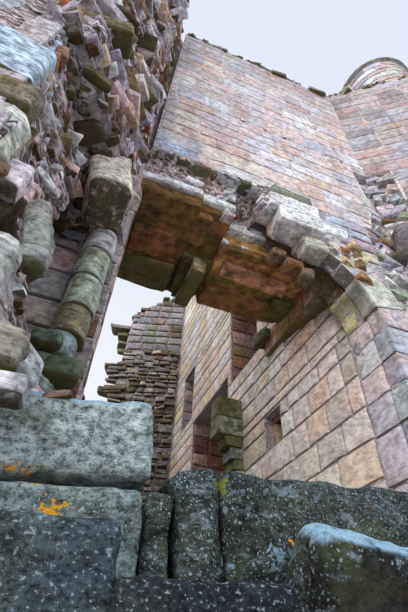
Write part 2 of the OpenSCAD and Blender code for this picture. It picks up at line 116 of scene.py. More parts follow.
# %% Ray probe
points, faces = [], []
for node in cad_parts.values():
    first = len(points)
    points += (np.array([v.co[:] for v in node.data.vertices]) - SHIFT).tolist()
    faces += [[first + v for v in p.vertices] for p in node.data.polygons]
TREE = BVHTree.FromPolygons(points, faces)
print("faces in the tree", len(faces))


def probe(starts, direction, reach=3.0):
    """Distance from each start along one direction (or one each) to the CAD, or reach if none."""
    starts = np.asarray(starts, float)
    lines = np.broadcast_to(direction, starts.shape)
    hits = (TREE.ray_cast(s, d, reach)[3] for s, d in
            zip(starts.reshape(-1, 3).tolist(), lines.reshape(-1, 3).tolist()))
    return np.array([reach if h is None else h for h in hits]).reshape(starts.shape[:-1])


# %% [markdown]
# ## Roughness as numbers
# Weathered stone needs lumps of many sizes. Value noise is enough: random numbers on a lattice,
# blended smoothly between the eight corners round each point. It depends only on the place and a
# seed, so it is the same on every run, and neighbouring stones get different lumps.

# %% Lattice noise
def lattice(ix, iy, iz, seed):
    """A repeatable random number from -1 to 1 for each whole-numbered lattice corner."""
    h = (ix * 374761393 + iy * 668265263 + iz * 1440662683 + seed * 97531) & 0xFFFFFFFF
    h = ((h ^ (h >> 13)) * 1274126177) & 0xFFFFFFFF
    return (h ^ (h >> 16)) / 2 ** 31 - 1


def lumps(points, size, seed=0):
    """Smooth noise from -1 to 1 whose lumps are about size metres across: the eight corner values
    are blended with the weight 3t^2 - 2t^3 along each axis."""
    p = np.asarray(points) / size + 1000.0
    cell = np.floor(p).astype(np.int64)
    t = p - cell
    t = t * t * (3 - 2 * t)
    total = 0
    for dx, dy, dz in np.ndindex(2, 2, 2):
        weight = (np.abs(1 - dx - t[..., 0]) * np.abs(1 - dy - t[..., 1])
                  * np.abs(1 - dz - t[..., 2]))
        total = total + weight * lattice(cell[..., 0] + dx, cell[..., 1] + dy,
                                         cell[..., 2] + dz, seed)
    return total


def rough(points, size, seed=0):
    """Three sizes of lumps added up, each half the size and half the height of the last."""
    return (lumps(points, size, seed) + lumps(points, size / 2, seed + 1) / 2
            + lumps(points, size / 4, seed + 2) / 4)


# %% [markdown]
# ## From arrays to pieces
# A heap collects thousands of small shapes and becomes one piece with one material. Each vertex
# carries a tint, the stone's own colour; a growth, how much moss it wears; and a rim, which is 1
# on worn edges and 0 on the faces between them. The material reads all three, so a single material
# paints every stone of a wall in its own colour.

# %% Heap of shapes
ADDED = {}


class Heap:
    """Shapes waiting to become one mesh: points, faces by number of corners, and what each vertex
    carries."""

    def __init__(self):
        self.points, self.faces, self.tints, self.growths, self.rims = [], [], [], [], []
        self.count = 0

    def add(self, points, faces, tint, growth=0.0, rim=0.0):
        """points (stones, vertices, 3) with the same faces each; tint and growth per stone; rim
        per stone and vertex."""
        stones, each = points.shape[:2]
        first = self.count + each * np.arange(stones)
        self.points.append(points.reshape(-1, 3))
        self.faces += [(f[None] + first[:, None, None]).reshape(-1, f.shape[1]) for f in faces]
        tint = np.broadcast_to(np.asarray(tint, float), (stones, 3))
        growth = np.broadcast_to(np.asarray(growth, float), (stones,))
        self.tints.append(np.repeat(np.c_[tint, np.ones(stones)], each, axis=0))
        self.growths.append(np.repeat(growth, each))
        self.rims.append(np.broadcast_to(np.asarray(rim, float), (stones, each)).ravel())
        self.count += stones * each

    def piece(self, name, material, slot, stands_for=()):
        """One mesh object at the origin that rides on the building."""
        points = np.concatenate(self.points) + SHIFT
        loops = np.concatenate([f.ravel() for f in self.faces]).astype(np.int32)
        sizes = np.concatenate([np.full(len(f), f.shape[1]) for f in self.faces])
        mesh = bpy.data.meshes.new(name)
        mesh.vertices.add(len(points))
        mesh.vertices.foreach_set("co", points.astype(np.float32).ravel())
        mesh.loops.add(len(loops))
        mesh.loops.foreach_set("vertex_index", loops)
        mesh.polygons.add(len(sizes))
        mesh.polygons.foreach_set("loop_start", (np.cumsum(sizes) - sizes).astype(np.int32))
        mesh.update(calc_edges=True)
        mesh.color_attributes.new("tint", "FLOAT_COLOR", "POINT").data.foreach_set(
            "color", np.concatenate(self.tints).astype(np.float32).ravel())
        for label, values in (("growth", self.growths), ("rim", self.rims)):
            mesh.attributes.new(label, "FLOAT", "POINT").data.foreach_set(
                "value", np.concatenate(values).astype(np.float32))
        mesh.shade_smooth()
        mesh.materials.append(material)
        piece = placed(name, mesh)
        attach(piece, "root")
        if stands_for:
            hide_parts(*stands_for)
        ADDED[name] = int((sizes - 2).sum())
        print(f"{name}: {len(self.points)} lots, {ADDED[name]} triangles")


# %% [markdown]
# ## Colours of the stone
# The keep is built of several beds of sandstone: pale pink, cream, blue-grey, some ochre and
# orange. A palette of two dozen colours, picked at random with weights for each wall, looks truer
# than one noise colour, because a real block is all of one bed.

# %% Palette
def linear(colour):
    """A colour given as it looks on a screen, as the light values that Blender works in."""
    c = np.asarray(colour, float)
    return np.where(c > 0.04045, ((c + 0.055) / 1.055) ** 2.4, c / 12.92)


def rgba(colour):
    """The same for a colour socket, which has a fourth value."""
    return (*linear(colour), 1)


PALETTE = {
    "white": (0.88, 0.89, 0.92), "blue": (0.76, 0.79, 0.85), "lilac": (0.76, 0.72, 0.77),
    "cream": (0.86, 0.81, 0.75), "pink": (0.86, 0.75, 0.74), "rose": (0.82, 0.66, 0.66),
    "peach": (0.86, 0.72, 0.63), "orange": (0.80, 0.60, 0.46), "ochre": (0.80, 0.71, 0.52),
    "grey": (0.68, 0.67, 0.67), "mauve": (0.60, 0.54, 0.55), "green": (0.62, 0.66, 0.56),
    "brown": (0.50, 0.38, 0.28), "rust": (0.60, 0.36, 0.24), "dark": (0.36, 0.32, 0.27),
    "olive": (0.44, 0.42, 0.29), "slate": (0.48, 0.54, 0.56), "umber": (0.45, 0.31, 0.19),
    "tan": (0.62, 0.44, 0.28), "bark": (0.30, 0.24, 0.15), "steel": (0.66, 0.70, 0.76),
    "snow": (0.96, 0.95, 0.95), "frost": (0.80, 0.84, 0.85), "moss": (0.36, 0.40, 0.34),
}


def tints(mix, count, seed, spread=0.05):
    """A colour for each stone: drawn from a mix such as "pink 3 cream 2", each a little lighter
    or darker than its bed. The seed may be a generator that is already in use."""
    rng = np.random.default_rng(seed)
    words = mix.split()
    names, shares = words[::2], np.array(words[1::2], float)
    picks = rng.choice(len(names), count, p=shares / shares.sum())
    colours = np.array([PALETTE[n] for n in names])[picks]
    return linear(np.clip(colours + rng.normal(0, spread, (count, 1))
                          + rng.normal(0, 0.012, (count, 3)), 0.02, 0.97))


def named(words, seed):
    """One colour for each word, nearly the palette's own."""
    rng = np.random.default_rng(seed)
    return np.array([tints(word + " 1", 1, rng, 0.03)[0] for word in words.split()])


def blend(tint, colour, share):
    """Tints drawn towards one colour by a share from 0 to 1."""
    return tint * (1 - share) + linear(colour) * share


print("palette of", len(PALETTE), "colours")

# %% [markdown]
# ## Dressed stones on a wall
# Only the face of a dressed stone shows, so only the face is modelled finely: a grid over its two
# sides, higher in the middle, rounded down to the joint at its edges, with a ring of sides that
# runs back into the wall and a plain back, so the shape is closed.

# %% Faced stones
def face_grid(nu, nv):
    """Quads of a grid of nu by nv points, and its outer points in one walk round it."""
    i = np.arange(nu * nv).reshape(nv, nu)
    quads = np.stack([i[:-1, :-1], i[:-1, 1:], i[1:, 1:], i[1:, :-1]], -1).reshape(-1, 4)
    return quads, np.concatenate([i[0, :-1], i[:-1, -1], i[-1, :0:-1], i[:0:-1, 0]])


def side_quads(rim, ring):
    """The band of quads between two closed walks, such as the front's rim and the back's."""
    return np.stack([rim, ring, np.roll(ring, -1), np.roll(rim, -1)], -1)


def edge_lines(count, share):
    """Grid lines from 0 to 1 for each stone, one of them a worn edge's share in from each end."""
    lines = np.empty((len(share), count))
    lines[:, 0], lines[:, -1] = 0, 1
    lines[:, 1:-1] = share[:, None] + (1 - 2 * share[:, None]) * np.linspace(0, 1, count - 2)
    return lines


def faced_stones(heap, place, corners, tint, growth=0.0, proud=0.014, wear=0.02, rugged=0.004,
                 grid=(8, 6), depth=0.05, seed=0):
    """Stones from their four corners in the wall's own u and z. A point of the face is the blend
    of the corners; its height over the mortar is proud times a quarter circle near the edges,
    plus noise."""
    nu, nv = grid
    quads, rim = face_grid(nu, nv)
    ring = nu * nv + np.arange(len(rim))
    a, b, c, d = (corners[:, k] for k in range(4))
    width = np.linalg.norm(b - a, axis=1)
    height = np.linalg.norm(d - a, axis=1)
    share_u = np.minimum(wear / width, 0.3)
    share_v = np.minimum(wear / height, 0.3)
    s = edge_lines(nu, share_u)[:, None, :, None] + np.zeros((1, nv, 1, 1))
    t = edge_lines(nv, share_v)[:, :, None, None] + np.zeros((1, 1, nu, 1))
    flat = ((1 - s) * (1 - t) * a[:, None, None] + s * (1 - t) * b[:, None, None]
            + s * t * c[:, None, None] + (1 - s) * t * d[:, None, None])
    s, t = s[..., 0], t[..., 0]
    key = np.stack([flat[..., 0] + 7.3 * seed, np.full(s.shape, 0.31 * seed), flat[..., 1]], -1)
    flat = flat + 0.3 * wear * np.stack([lumps(key, 0.11, 3), lumps(key, 0.11, 4)], -1)
    inset_u = np.minimum(s, 1 - s) / share_u[:, None, None]
    inset_v = np.minimum(t, 1 - t) / share_v[:, None, None]
    round_u = np.sqrt(1 - (1 - np.clip(inset_u, 0, 1)) ** 2)
    round_v = np.sqrt(1 - (1 - np.clip(inset_v, 0, 1)) ** 2)
    bulge = 1 + 0.35 * (1 - (2 * s - 1) ** 2) * (1 - (2 * t - 1) ** 2)
    lift = proud * (0.12 + 0.88 * round_u * round_v * bulge)
    lift = lift + rugged * rough(key, 0.16, 5) * round_u * round_v
    front = place(flat[..., 0], flat[..., 1], lift).reshape(len(corners), -1, 3)
    rim_flat = flat.reshape(len(corners), -1, 2)[:, rim]
    back = place(rim_flat[..., 0], rim_flat[..., 1], np.full(rim_flat.shape[:2], -depth))
    worn = (1 - round_u * round_v).reshape(len(corners), -1)
    worn = np.concatenate([worn, np.ones(rim_flat.shape[:2])], 1)
    heap.add(np.concatenate([front, back], 1), [quads, side_quads(rim, ring), ring[None, ::-1]],
             tint, growth, worn)


def faced_piece(name, material, slot, *stones, **how):
    """A wall face of such stones as one piece."""
    heap = Heap()
    faced_stones(heap, *stones, **how)
    heap.piece(name, material, slot)


# %% [markdown]
# ## Blocks, boulders and rubble
# A stone that stands free of the wall is a rounded box. Take a box's surface as a grid, pull each
# point onto a smaller inner box, and push it out again by a fixed radius: that rounds the edges
# exactly. Slicing some corners off with random planes gives broken faces, and noise the wear.

# %% Rounded blocks
def box_grid(n):
    """Surface points of a box as whole numbers from 0 to n along its three sides, welded at the
    edges, and its outward quads."""
    i, j = np.meshgrid(np.arange(n), np.arange(n), indexing="ij")
    corners, step = [], [(0, 0), (1, 0), (1, 1), (0, 1)]
    for axis, end in np.ndindex(3, 2):
        turn = step if end else step[::-1]
        quad = np.zeros((n * n, 4, 3), int)
        quad[..., axis] = n * end
        for k, (di, dj) in enumerate(turn):
            quad[:, k, (axis + 1) % 3] = (i + di).ravel()
            quad[:, k, (axis + 2) % 3] = (j + dj).ravel()
        corners.append(quad)
    corners = np.concatenate(corners).reshape(-1, 3)
    points, index = np.unique(corners, axis=0, return_inverse=True)
    return points, index.reshape(-1, 4)


def block_shapes(halves, radii, n, seed, cuts=0, cut_depth=0.3):
    """Rounded boxes round their own centres, the direction in which each point was pushed, the
    quads, and the rim: 1 where an edge or corner is, 0 on the flats."""
    index, quads = box_grid(n)
    stones = len(halves)
    rng = np.random.default_rng(seed)
    radii = np.minimum(radii, halves.min(1) * 0.98)
    inner = 1 - radii[:, None] / halves
    lines = np.empty((stones, 3, n + 1))
    lines[..., 0], lines[..., n] = -1, 1
    lines[..., 1:n] = inner[..., None] * np.linspace(-1, 1, n - 1)
    box = lines[:, np.arange(3)[None], index] * halves[:, None]
    core = np.clip(box, -(halves - radii[:, None])[:, None], (halves - radii[:, None])[:, None])
    push = box - core
    push /= np.linalg.norm(push, axis=2, keepdims=True)
    rim = np.clip((1 - np.abs(push).max(2)) / 0.3, 0, 1)
    shape = core + push * radii[:, None, None]
    for _ in range(cuts):
        normal = rng.normal(size=(stones, 3)) * (1, 1, 0.8)
        normal /= np.linalg.norm(normal, axis=1, keepdims=True)
        limit = (np.abs(normal) * halves).sum(1) * rng.uniform(1 - cut_depth - 0.15, 1, stones)
        over = np.clip((shape * normal[:, None]).sum(2) - limit[:, None], 0, None)
        shape = shape - over[..., None] * normal[:, None]
    return shape, push, quads, rim


def turned(along, out, tilt):
    """Each stone's three axes (stones, axis, 3): along the wall, into it, and up, tilted by three
    small angles in turn."""
    along, out = np.broadcast_to(along, tilt.shape), np.broadcast_to(out, tilt.shape)
    axes = np.stack([along, -out, np.cross(along, -out)], 1)
    for k in range(3):
        a, b = (k + 1) % 3, (k + 2) % 3
        cos, sin = np.cos(tilt[:, k])[:, None], np.sin(tilt[:, k])[:, None]
        axes[:, a], axes[:, b] = (cos * axes[:, a] + sin * axes[:, b],
                                  cos * axes[:, b] - sin * axes[:, a])
    return axes


def blocks(heap, centres, halves, tint, growth=0.0, radius=0.03, axes=None, tilt=0.0, n=4,
           wear=0.01, lump=0.15, cuts=0, cut_depth=0.3, seed=0, bedded=1.0):
    """Rounded, cut and worn blocks at the given centres. bedded above 1 squeezes the lumps into
    level layers, as in bedded sandstone."""
    centres, halves = np.atleast_2d(centres).astype(float), np.atleast_2d(halves).astype(float)
    stones = len(centres)
    halves = np.broadcast_to(halves, (stones, 3))
    radii = np.broadcast_to(np.asarray(radius, float), (stones,))
    shape, push, quads, rim = block_shapes(halves, radii, n, seed, cuts, cut_depth)
    if axes is None:
        spin = np.random.default_rng(seed + 1).normal(0, 1, (stones, 3)) * tilt
        axes = turned((1.0, 0, 0), (0, -1.0, 0), spin)
    world = centres[:, None] + np.einsum("svk,skj->svj", shape, axes)
    push = np.einsum("svk,skj->svj", push, axes)
    world = world + push * (wear * rough(world * (1, 1, bedded), lump, seed + 2))[..., None]
    heap.add(world, [quads], tint, growth, rim)


def block_piece(name, material, slot, *stones, stands_for=(), **how):
    """Such blocks as one piece."""
    heap = Heap()
    blocks(heap, *stones, **how)
    heap.piece(name, material, slot, stands_for)


def table(text):
    """A table of stones, one to a line or set apart by ";": numbers first and a palette word
    last. Returns the numbers as an array and the words as one string."""
    rows = [row.split() for row in text.strip().replace(";", "\n").splitlines()]
    return np.array([row[:-1] for row in rows], float), " ".join(row[-1] for row in rows)


def set_stones(name, material, slot, seed, text, stands_for=(), **how):
    """A piece of blocks placed one by one. Each line of the text gives the middle (x, y, z), the
    half sizes (along, into, up), the growth and the tint."""
    stones, words = table(text)
    block_piece(name, material, slot, stones[:, :3], stones[:, 3:6], named(words, seed),
                stones[:, 6], stands_for=stands_for, seed=seed + 1, **how)


print("one dressed stone has", len(face_grid(8, 6)[0]), "quads in its face, a block", 6 * 4 * 4)

# %% [markdown]
# ## Materials written as expressions
# A finish is a sum of simple ideas: the stone's tint, times blotches, then stains, moss and
# lichen laid over it by masks. A small class lets each mask be written as ordinary maths and adds
# the nodes behind it.

# %% Shader expressions
class Number:
    """A node's output that adds Math nodes when it is used in an expression."""

    def __init__(self, nodes, socket):
        self.nodes, self.socket = nodes, socket

    def __add__(self, other):
        return self.nodes.math("ADD", self, other)

    def __sub__(self, other):
        return self.nodes.math("SUBTRACT", self, other)

    def __rsub__(self, other):
        return self.nodes.math("SUBTRACT", other, self)

    def __mul__(self, other):
        return self.nodes.math("MULTIPLY", self, other)

    __radd__, __rmul__ = __add__, __mul__


class Nodes:
    """A node tree that is written as expressions."""

    def __init__(self, tree):
        self.tree = tree

    def node(self, kind, settings=(), sockets=(), output=0):
        """Adds a node: its settings first, then a value or a link for each socket."""
        node = self.tree.nodes.new("ShaderNode" + kind)
        for name, value in dict(settings).items():
            setattr(node, name, value)
        for key, value in dict(sockets).items():
            if isinstance(value, Number):
                self.tree.links.new(value.socket, node.inputs[key])
            else:
                node.inputs[key].default_value = value
        return Number(self, node.outputs[output])

    def math(self, operation, first, second):
        return self.node("Math", {"operation": operation}, {0: first, 1: second})

    def vector(self, operation, sockets, output=0):
        return self.node("VectorMath", {"operation": operation}, sockets, output)

    def mix(self, mask, below, above):
        """The colour above laid on the colour below by a mask."""
        return self.node("Mix", {"data_type": "RGBA"}, {0: mask, 6: below, 7: above}, output=2)


class Finish(Nodes):
    """A material under construction, with the few helpers that its masks need."""

    def __init__(self, name):
        self.material = bpy.data.materials.new(name)
        self.material.use_nodes = True
        super().__init__(self.material.node_tree)
        self.shader = self.tree.nodes["Principled BSDF"]
        self.place = self.node("TexCoord", output="Object")

    def noise(self, scale, detail=3, stretch=(1, 1, 1), shift=0.0):
        """Noise from 0 to 1 with scale lumps a metre, squeezed by stretch along each axis."""
        moved = self.node("Mapping", {}, {"Vector": self.place, "Scale": stretch,
                                          "Location": (shift,) * 3})
        return self.node("TexNoise", {}, {"Vector": moved, "Scale": scale, "Detail": detail,
                                          "Roughness": 0.6})

    def warped(self, scale, detail, reach):
        """The place, pushed about by noise, so that what is drawn there gets ragged edges."""
        wobble = self.node("TexNoise", {}, {"Vector": self.place, "Scale": scale,
                                            "Detail": detail}, output="Color")
        return self.vector("MULTIPLY_ADD", {0: wobble, 1: (reach,) * 3, 2: self.place})

    def cells(self, place, scale):
        """Distance to the nearest of scattered points, and a random number for each of them."""
        cell = self.node("TexVoronoi", {}, {"Vector": place, "Scale": scale})
        own = Number(self, cell.socket.node.outputs["Color"])
        return cell, self.node("SeparateColor", {}, {0: own})

    def ramp(self, value, low, high):
        """0 below low, 1 above high, smooth between; low may be the higher number."""
        return self.node("MapRange", {"interpolation_type": "SMOOTHSTEP"},
                         {"Value": value, "From Min": low, "From Max": high})

    def over(self, mask, below, above):
        """Mixes like mix(), but takes plain colours as they look on a screen."""
        return self.mix(mask, *(colour if isinstance(colour, Number) else rgba(colour)
                                for colour in (below, above)))

    def shade(self, colour, value):
        """A colour made lighter or darker by a value."""
        colour = colour if isinstance(colour, Number) else tuple(linear(colour))
        return self.vector("SCALE", {0: colour, "Scale": value})

    def facing_up(self):
        """The z part of the surface's direction: 1 on top of a stone, -1 under it."""
        normal = self.node("NewGeometry", output="Normal")
        return self.node("SeparateXYZ", {}, {0: normal}, output="Z")

    def attribute(self, name, output):
        return self.node("Attribute", {"attribute_name": name}, output=output)

    def done(self, colour, height, bump, depth):
        """Joins colour and bump to the shader and returns the material."""
        bumped = self.node("Bump", {}, {"Height": height, "Strength": bump, "Distance": depth})
        self.tree.links.new(colour.socket, self.shader.inputs["Base Color"])
        self.tree.links.new(bumped.socket, self.shader.inputs["Normal"])
        self.shader.inputs["Roughness"].default_value = 0.92
        self.shader.inputs["Specular IOR Level"].default_value = 0.25
        return self.material


# %% [markdown]
# ## Weathered sandstone
# All stone here is one recipe with different amounts. The block's tint drifts warm and cool in
# clouds, gets lighter and darker in mottles and level bedding lines, is dirty or worn pale at its
# rims, and is darkened in its pits as painted shade. Over that go dark runs of water, dark
# undersides that are partly damp and moss and partly painted shade, moss that likes the stones
# that carry growth, pale scabs and round spots of lichen. Bare mortar is packed with shards of
# stone, with painted shadow in the crevices round them, and the front blocks wear a few crusts of
# golden lichen; two of them have a painted highlight of sky light on their tops. Mottle, bedding
# and grain also feed the bump, so the light picks them out.

# %% Stone recipe
LICHEN_SPOTS = 150  # the smallest and commonest spots, per metre


def stone_finish(name, tint=None, clouds=0.3, mottle=0.35, mottle_scale=13, bedding=0.12,
                 drift=0.35, rims=-0.4, runs=0.3, moss=0.3, under=0.8, scabs=0.3, lichen=0.0,
                 sky_highlight=0.0, grain=0.25, grain_scale=90, pits=0.3, specks=0.2, bump=0.7,
                 depth=0.012, crusts=(), shards=0, crevice_shade=0.75, lichen_tint=(0.86, 0.88, 0.89),
                 moss_tint=(0.36, 0.37, 0.17), warm=(0.80, 0.62, 0.54),
                 cool=(0.68, 0.71, 0.78)):
    """Each amount is from 0 to about 1, and each scale is in lumps a metre. The tint drifts to
    the warm and cool colours; shards, a number a metre, cover it, with crevice_shade as painted
    shadow round them; clouds, mottles, bedding, grain, pits and rims scale it, the pits as
    painted shade in their hollows. Then runs, dark undersides (damp and moss, and painted shade),
    moss, scabs, specks, sky_highlight as a painted highlight on tops, lichen and crusts go over
    it, each where its own noise is high."""
    f = Finish(name)
    if tint is None:
        colour, growth = f.attribute("tint", "Color"), f.attribute("growth", "Fac")
    else:
        colour, growth = f.node("RGB"), 0.0
        colour.socket.default_value = rgba(tint)
    rim = f.attribute("rim", "Fac")
    broad, cloud = f.noise(1.3, 3, shift=5.0), f.noise(5, 4)
    mottles = f.noise(mottle_scale, 5, (1, 1, 1.5), 1.0)
    beds = f.noise(6, 4, (1, 1, 9), 2.0)
    fine = f.noise(grain_scale, 3)
    grit = f.noise(grain_scale * 0.45, 4, (1, 1, 1.4), 29.0)
    pit = f.ramp(grit, 0.42, 0.34) * pits
    colour = f.over(f.ramp(f.noise(2.2, 4, shift=11.0), 0.48, 0.68) * drift, colour, warm)
    colour = f.over(f.ramp(f.noise(2.6, 4, shift=17.0), 0.5, 0.68) * drift, colour, cool)
    if shards:
        bent = f.node("Mapping", {}, {"Vector": f.warped(shards * 1.5, 2, 0.7 / shards),
                                      "Rotation": (0.35, 0.25, 0), "Scale": (1, 1, 2.4)})
        cell, pick = f.cells(bent, shards)
        shard = (0.42, 0.32, 0.24)
        for share, own in ((0.30, (0.80, 0.66, 0.60)), (0.55, (0.93, 0.90, 0.88)),
                           (0.80, (0.42, 0.40, 0.28))):
            shard = f.over(f.ramp(pick, share, share + 0.04), shard, own)
        colour = f.over(f.ramp(cell, 0.46, 0.38) * 0.85, colour, shard)
        # The dark ring round each shard is painted shadow in the crevice between shard and mortar;
        # the same ring also dips in the bump.
        crevice = f.ramp(cell, 0.36, 0.46) * f.ramp(cell, 0.62, 0.5)
        colour = f.over(crevice * crevice_shade, colour, (0.20, 0.16, 0.13))
    tone = (1 + clouds * (cloud - 0.5) * 2 + mottle * (f.ramp(mottles, 0.3, 0.7) - 0.5) * 2
            + bedding * (f.ramp(beds, 0.3, 0.7) - 0.5) * 2 + grain * (fine - 0.5) * 2)
    # The pits darken the tone here as painted shade in their hollows; the same pits also dip in
    # the bump.
    tone = tone * (1 + rims * rim * f.ramp(cloud, 0.3, 0.6)) * (1 - pit)
    colour = f.shade(colour, tone)
    up = f.facing_up()
    run = f.ramp(f.noise(5, 3, (1, 1, 0.16), 7.0), 0.5, 0.7)
    colour = f.over(run * f.ramp(broad, 0.35, 0.65) * runs, colour, (0.40, 0.37, 0.38))
    # Faces that look down turn dark brown: partly damp and moss, partly painted shade standing in
    # for the light that the pale floor would throw up under them.
    below = f.ramp(up, -0.2, -0.6)
    colour = f.over(below * f.ramp(mottles, 0.25, 0.5) * under, colour, (0.25, 0.19, 0.10))
    green = f.ramp(f.noise(4.5, 5, shift=3.0) + growth * 0.3 + below * 0.05, 0.6, 0.85)
    colour = f.over(green * moss, colour, f.shade(moss_tint, 0.6 + mottles * 0.8))
    scab = f.ramp(f.noise(17, 5, (1, 1, 1.6), 13.0), 0.56, 0.66) * f.ramp(broad, 0.4, 0.6)
    colour = f.over(scab * (1 - below) * scabs, colour, lichen_tint)
    speck = f.ramp(grit, 0.58, 0.66) * f.ramp(cloud, 0.38, 0.58) * (1 - below)
    colour = f.over(speck * specks, colour, lichen_tint)
    # A pale sky blue on faces that look up is a painted highlight of sky light on the tops.
    if sky_highlight:
        colour = f.over(f.ramp(up, 0.25, 0.7) * f.ramp(mottles, 0.25, 0.5) * sky_highlight, colour,
                        (0.64, 0.79, 0.88))
    if lichen:
        for share, keep in ((1, 0.7), (0.55, 0.88), (0.22, 0.97)):
            scale = LICHEN_SPOTS * share
            place = f.vector("ADD", {0: f.warped(scale * 2, 1, 0.5 / scale), 1: (keep,) * 3})
            cell, pick = f.cells(place, scale)
            spot = f.ramp(cell + (grit - 0.5) * 0.5, 0.4, 0.26) * f.ramp(pick, keep, keep + 0.02)
            colour = f.over(spot * (1 - below) * f.ramp(growth, 0.0, 0.3) * lichen, colour,
                            lichen_tint)
    for *spot, reach, shade in crusts:
        far = f.vector("DISTANCE", {0: f.place, 1: tuple(np.add(spot, SHIFT))}, "Value")
        ragged = far + (f.noise(75, 4, shift=4.0) - 0.5) * reach * 6
        colour = f.over(f.ramp(ragged, reach, reach * 0.8), colour, shade)
    height = fine * 0.2 + grit * 0.5 + mottles * 0.8 + beds * bedding * 3 - pit * 0.4
    if shards:
        height = height + f.ramp(cell, 0.6, 0.2) * 2.0 - crevice
    return f.done(colour, height, bump, depth)


ASHLAR = stone_finish("dressed_ashlar", clouds=0.25, moss=0.3, rims=-0.3, mottle=0.4, specks=0.3)
PALE = stone_finish("pale_facing", clouds=0.22, mottle=0.35, mottle_scale=11, moss=0.2, runs=0.5,
                    scabs=0.6, rims=0.0, drift=0.55, pits=0.35, specks=0.4)
RUBBLE = stone_finish("broken_rubble", clouds=0.35, mottle=0.5, mottle_scale=20, bedding=0.35,
                      drift=0.2, rims=0.45, moss=0.45, under=0.95, scabs=0.35, bump=1.0, pits=0.5)
WARM = stone_finish("sheltered_ashlar", clouds=0.2, mottle=0.3, moss=0.42, runs=0.15, rims=-0.15,
                    drift=0.35, pits=0.25, specks=0.4, scabs=0.25, warm=(0.95, 0.75, 0.62),
                    cool=(0.86, 0.85, 0.84), moss_tint=(0.50, 0.48, 0.24))
SHELTERED = stone_finish("dry_rubble", clouds=0.35, mottle=0.45, mottle_scale=20, bedding=0.35,
                         drift=0.2, rims=0.45, moss=0.3, under=0.35, scabs=0.4, bump=1.0,
                         pits=0.45)
MOSSY = stone_finish("mossy_block", clouds=0.35, mottle=0.5, bedding=0.25, moss=0.8, bump=1.0,
                     pits=0.5)
BROWN = stone_finish("damp_soffit", clouds=0.6, mottle=0.5, mottle_scale=9, drift=0.5, moss=0.6,
                     under=0.0, scabs=0.0, runs=0.0, bump=1.0, depth=0.02, rims=0.2, pits=0.5,
                     specks=0.0, warm=(0.62, 0.38, 0.24), cool=(0.20, 0.17, 0.12),
                     moss_tint=(0.33, 0.33, 0.12))
LICHEN = dict(clouds=0.5, mottle=0.7, mottle_scale=30, bedding=0.1, drift=0.4, rims=0.3,
              moss=0.6, scabs=0.35, lichen=0.85, bump=1.0, grain=0.5, grain_scale=230, pits=0.6,
              specks=0.6, warm=(0.34, 0.36, 0.27), cool=(0.34, 0.41, 0.44), under=0.3,
              lichen_tint=(0.66, 0.74, 0.78), moss_tint=(0.34, 0.38, 0.25))
GOLD, FROST = (0.92, 0.66, 0.16), (0.52, 0.64, 0.70)
CRUSTS = [
    # x, y, z of a patch of crusty lichen, its reach, its colour
    (-0.108, 1.09, 1.685, 0.014, GOLD), (-0.07, 1.09, 1.662, 0.024, GOLD),
    (-0.035, 1.09, 1.665, 0.024, GOLD), (0.018, 1.09, 1.67, 0.018, GOLD),
    (0.01, 1.05, 1.59, 0.022, GOLD), (-0.05, 1.05, 1.60, 0.006, GOLD),
    (0.445, 1.10, 1.735, 0.016, (0.50, 0.50, 0.18)), (0.655, 1.09, 1.62, 0.008, GOLD),
    (0.60, 1.09, 1.58, 0.022, FROST), (0.745, 1.09, 1.61, 0.022, FROST),
    (0.47, 1.09, 1.55, 0.014, FROST), (0.17, 0.90, 1.47, 0.03, FROST),
]
DARK = stone_finish("lichen_block", crusts=CRUSTS, **LICHEN)
# The same lichen finish, with the painted sky highlight on its tops.
SKY_HIGHLIT = stone_finish("lichen_block_pale_top", crusts=CRUSTS[:4], sky_highlight=0.95, **LICHEN)
print("materials", [m.name for m in bpy.data.materials if m.use_nodes])

# %% [markdown]
# ## Mortar and core on the CAD walls
# The CAD solids stay in sight only in the joints and where the facing has fallen, so each gets
# the mortar finish in a shade that suits its neighbours.

# %% CAD finishes
TONES = {
    # tone: its colour, and the CAD nodes that wear it; the others wear plain lime mortar
    "light": ((0.90, 0.84, 0.82), "gate_wall_skin canted_wall arch_outer_order cap_house"),
    "rose": ((0.80, 0.70, 0.68), "gate_wall_core arch_haunch"),
    "brown": ((0.42, 0.34, 0.23), "haunch_core corbel_band"),
    "dark": ((0.30, 0.31, 0.29),
             "tower_roof_slab low_wall_left low_wall_middle low_wall_right front_step"),
    "green": ((0.44, 0.46, 0.36), "jamb_shaft hearth_pier"),
}
MORTAR = dict(clouds=0.4, mottle=0.5, mottle_scale=22, bump=1.0, depth=0.02, grain=0.4, rims=0.0)
lime = stone_finish("lime_mortar", tint=(0.76, 0.71, 0.71), moss=0.3, under=0.3, **MORTAR)
core_of = {}
for tone, (colour, names) in TONES.items():
    core = stone_finish("mortar_" + tone, tint=colour, moss=0.4, under=0.2, **MORTAR)
    core_of.update(dict.fromkeys(names.split(), core))
for name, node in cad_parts.items():
    for part in node.material_slots:
        part.material = core_of.get(name, lime)
print("CAD nodes painted", len(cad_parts))

# %% [markdown]
# ## Laying courses
# A mason lays level courses and breaks the joints of one course over the stones of the last.
# Here a course is a strip between two heights. The ray probe finds where the wall's face really
# is inside the strip, and those runs are divided into stones of about the mean length, each cut
# shifted a little. Where a broken top only leaves half a course, a lower stone is laid.

# %% Course layout
def plane(foot, along, climb, out):
    """The face through a foot point, as a function of u along it, z up it and d out of it."""
    def place(u, z, d):
        return np.array(foot) + u[..., None] * along + z[..., None] * climb + d[..., None] * out
    place.along, place.out = along, out
    return place


def level(heading):
    """The level direction at an angle from +x, in degrees."""
    angle = math.radians(heading)
    return np.array([math.cos(angle), math.sin(angle), 0])


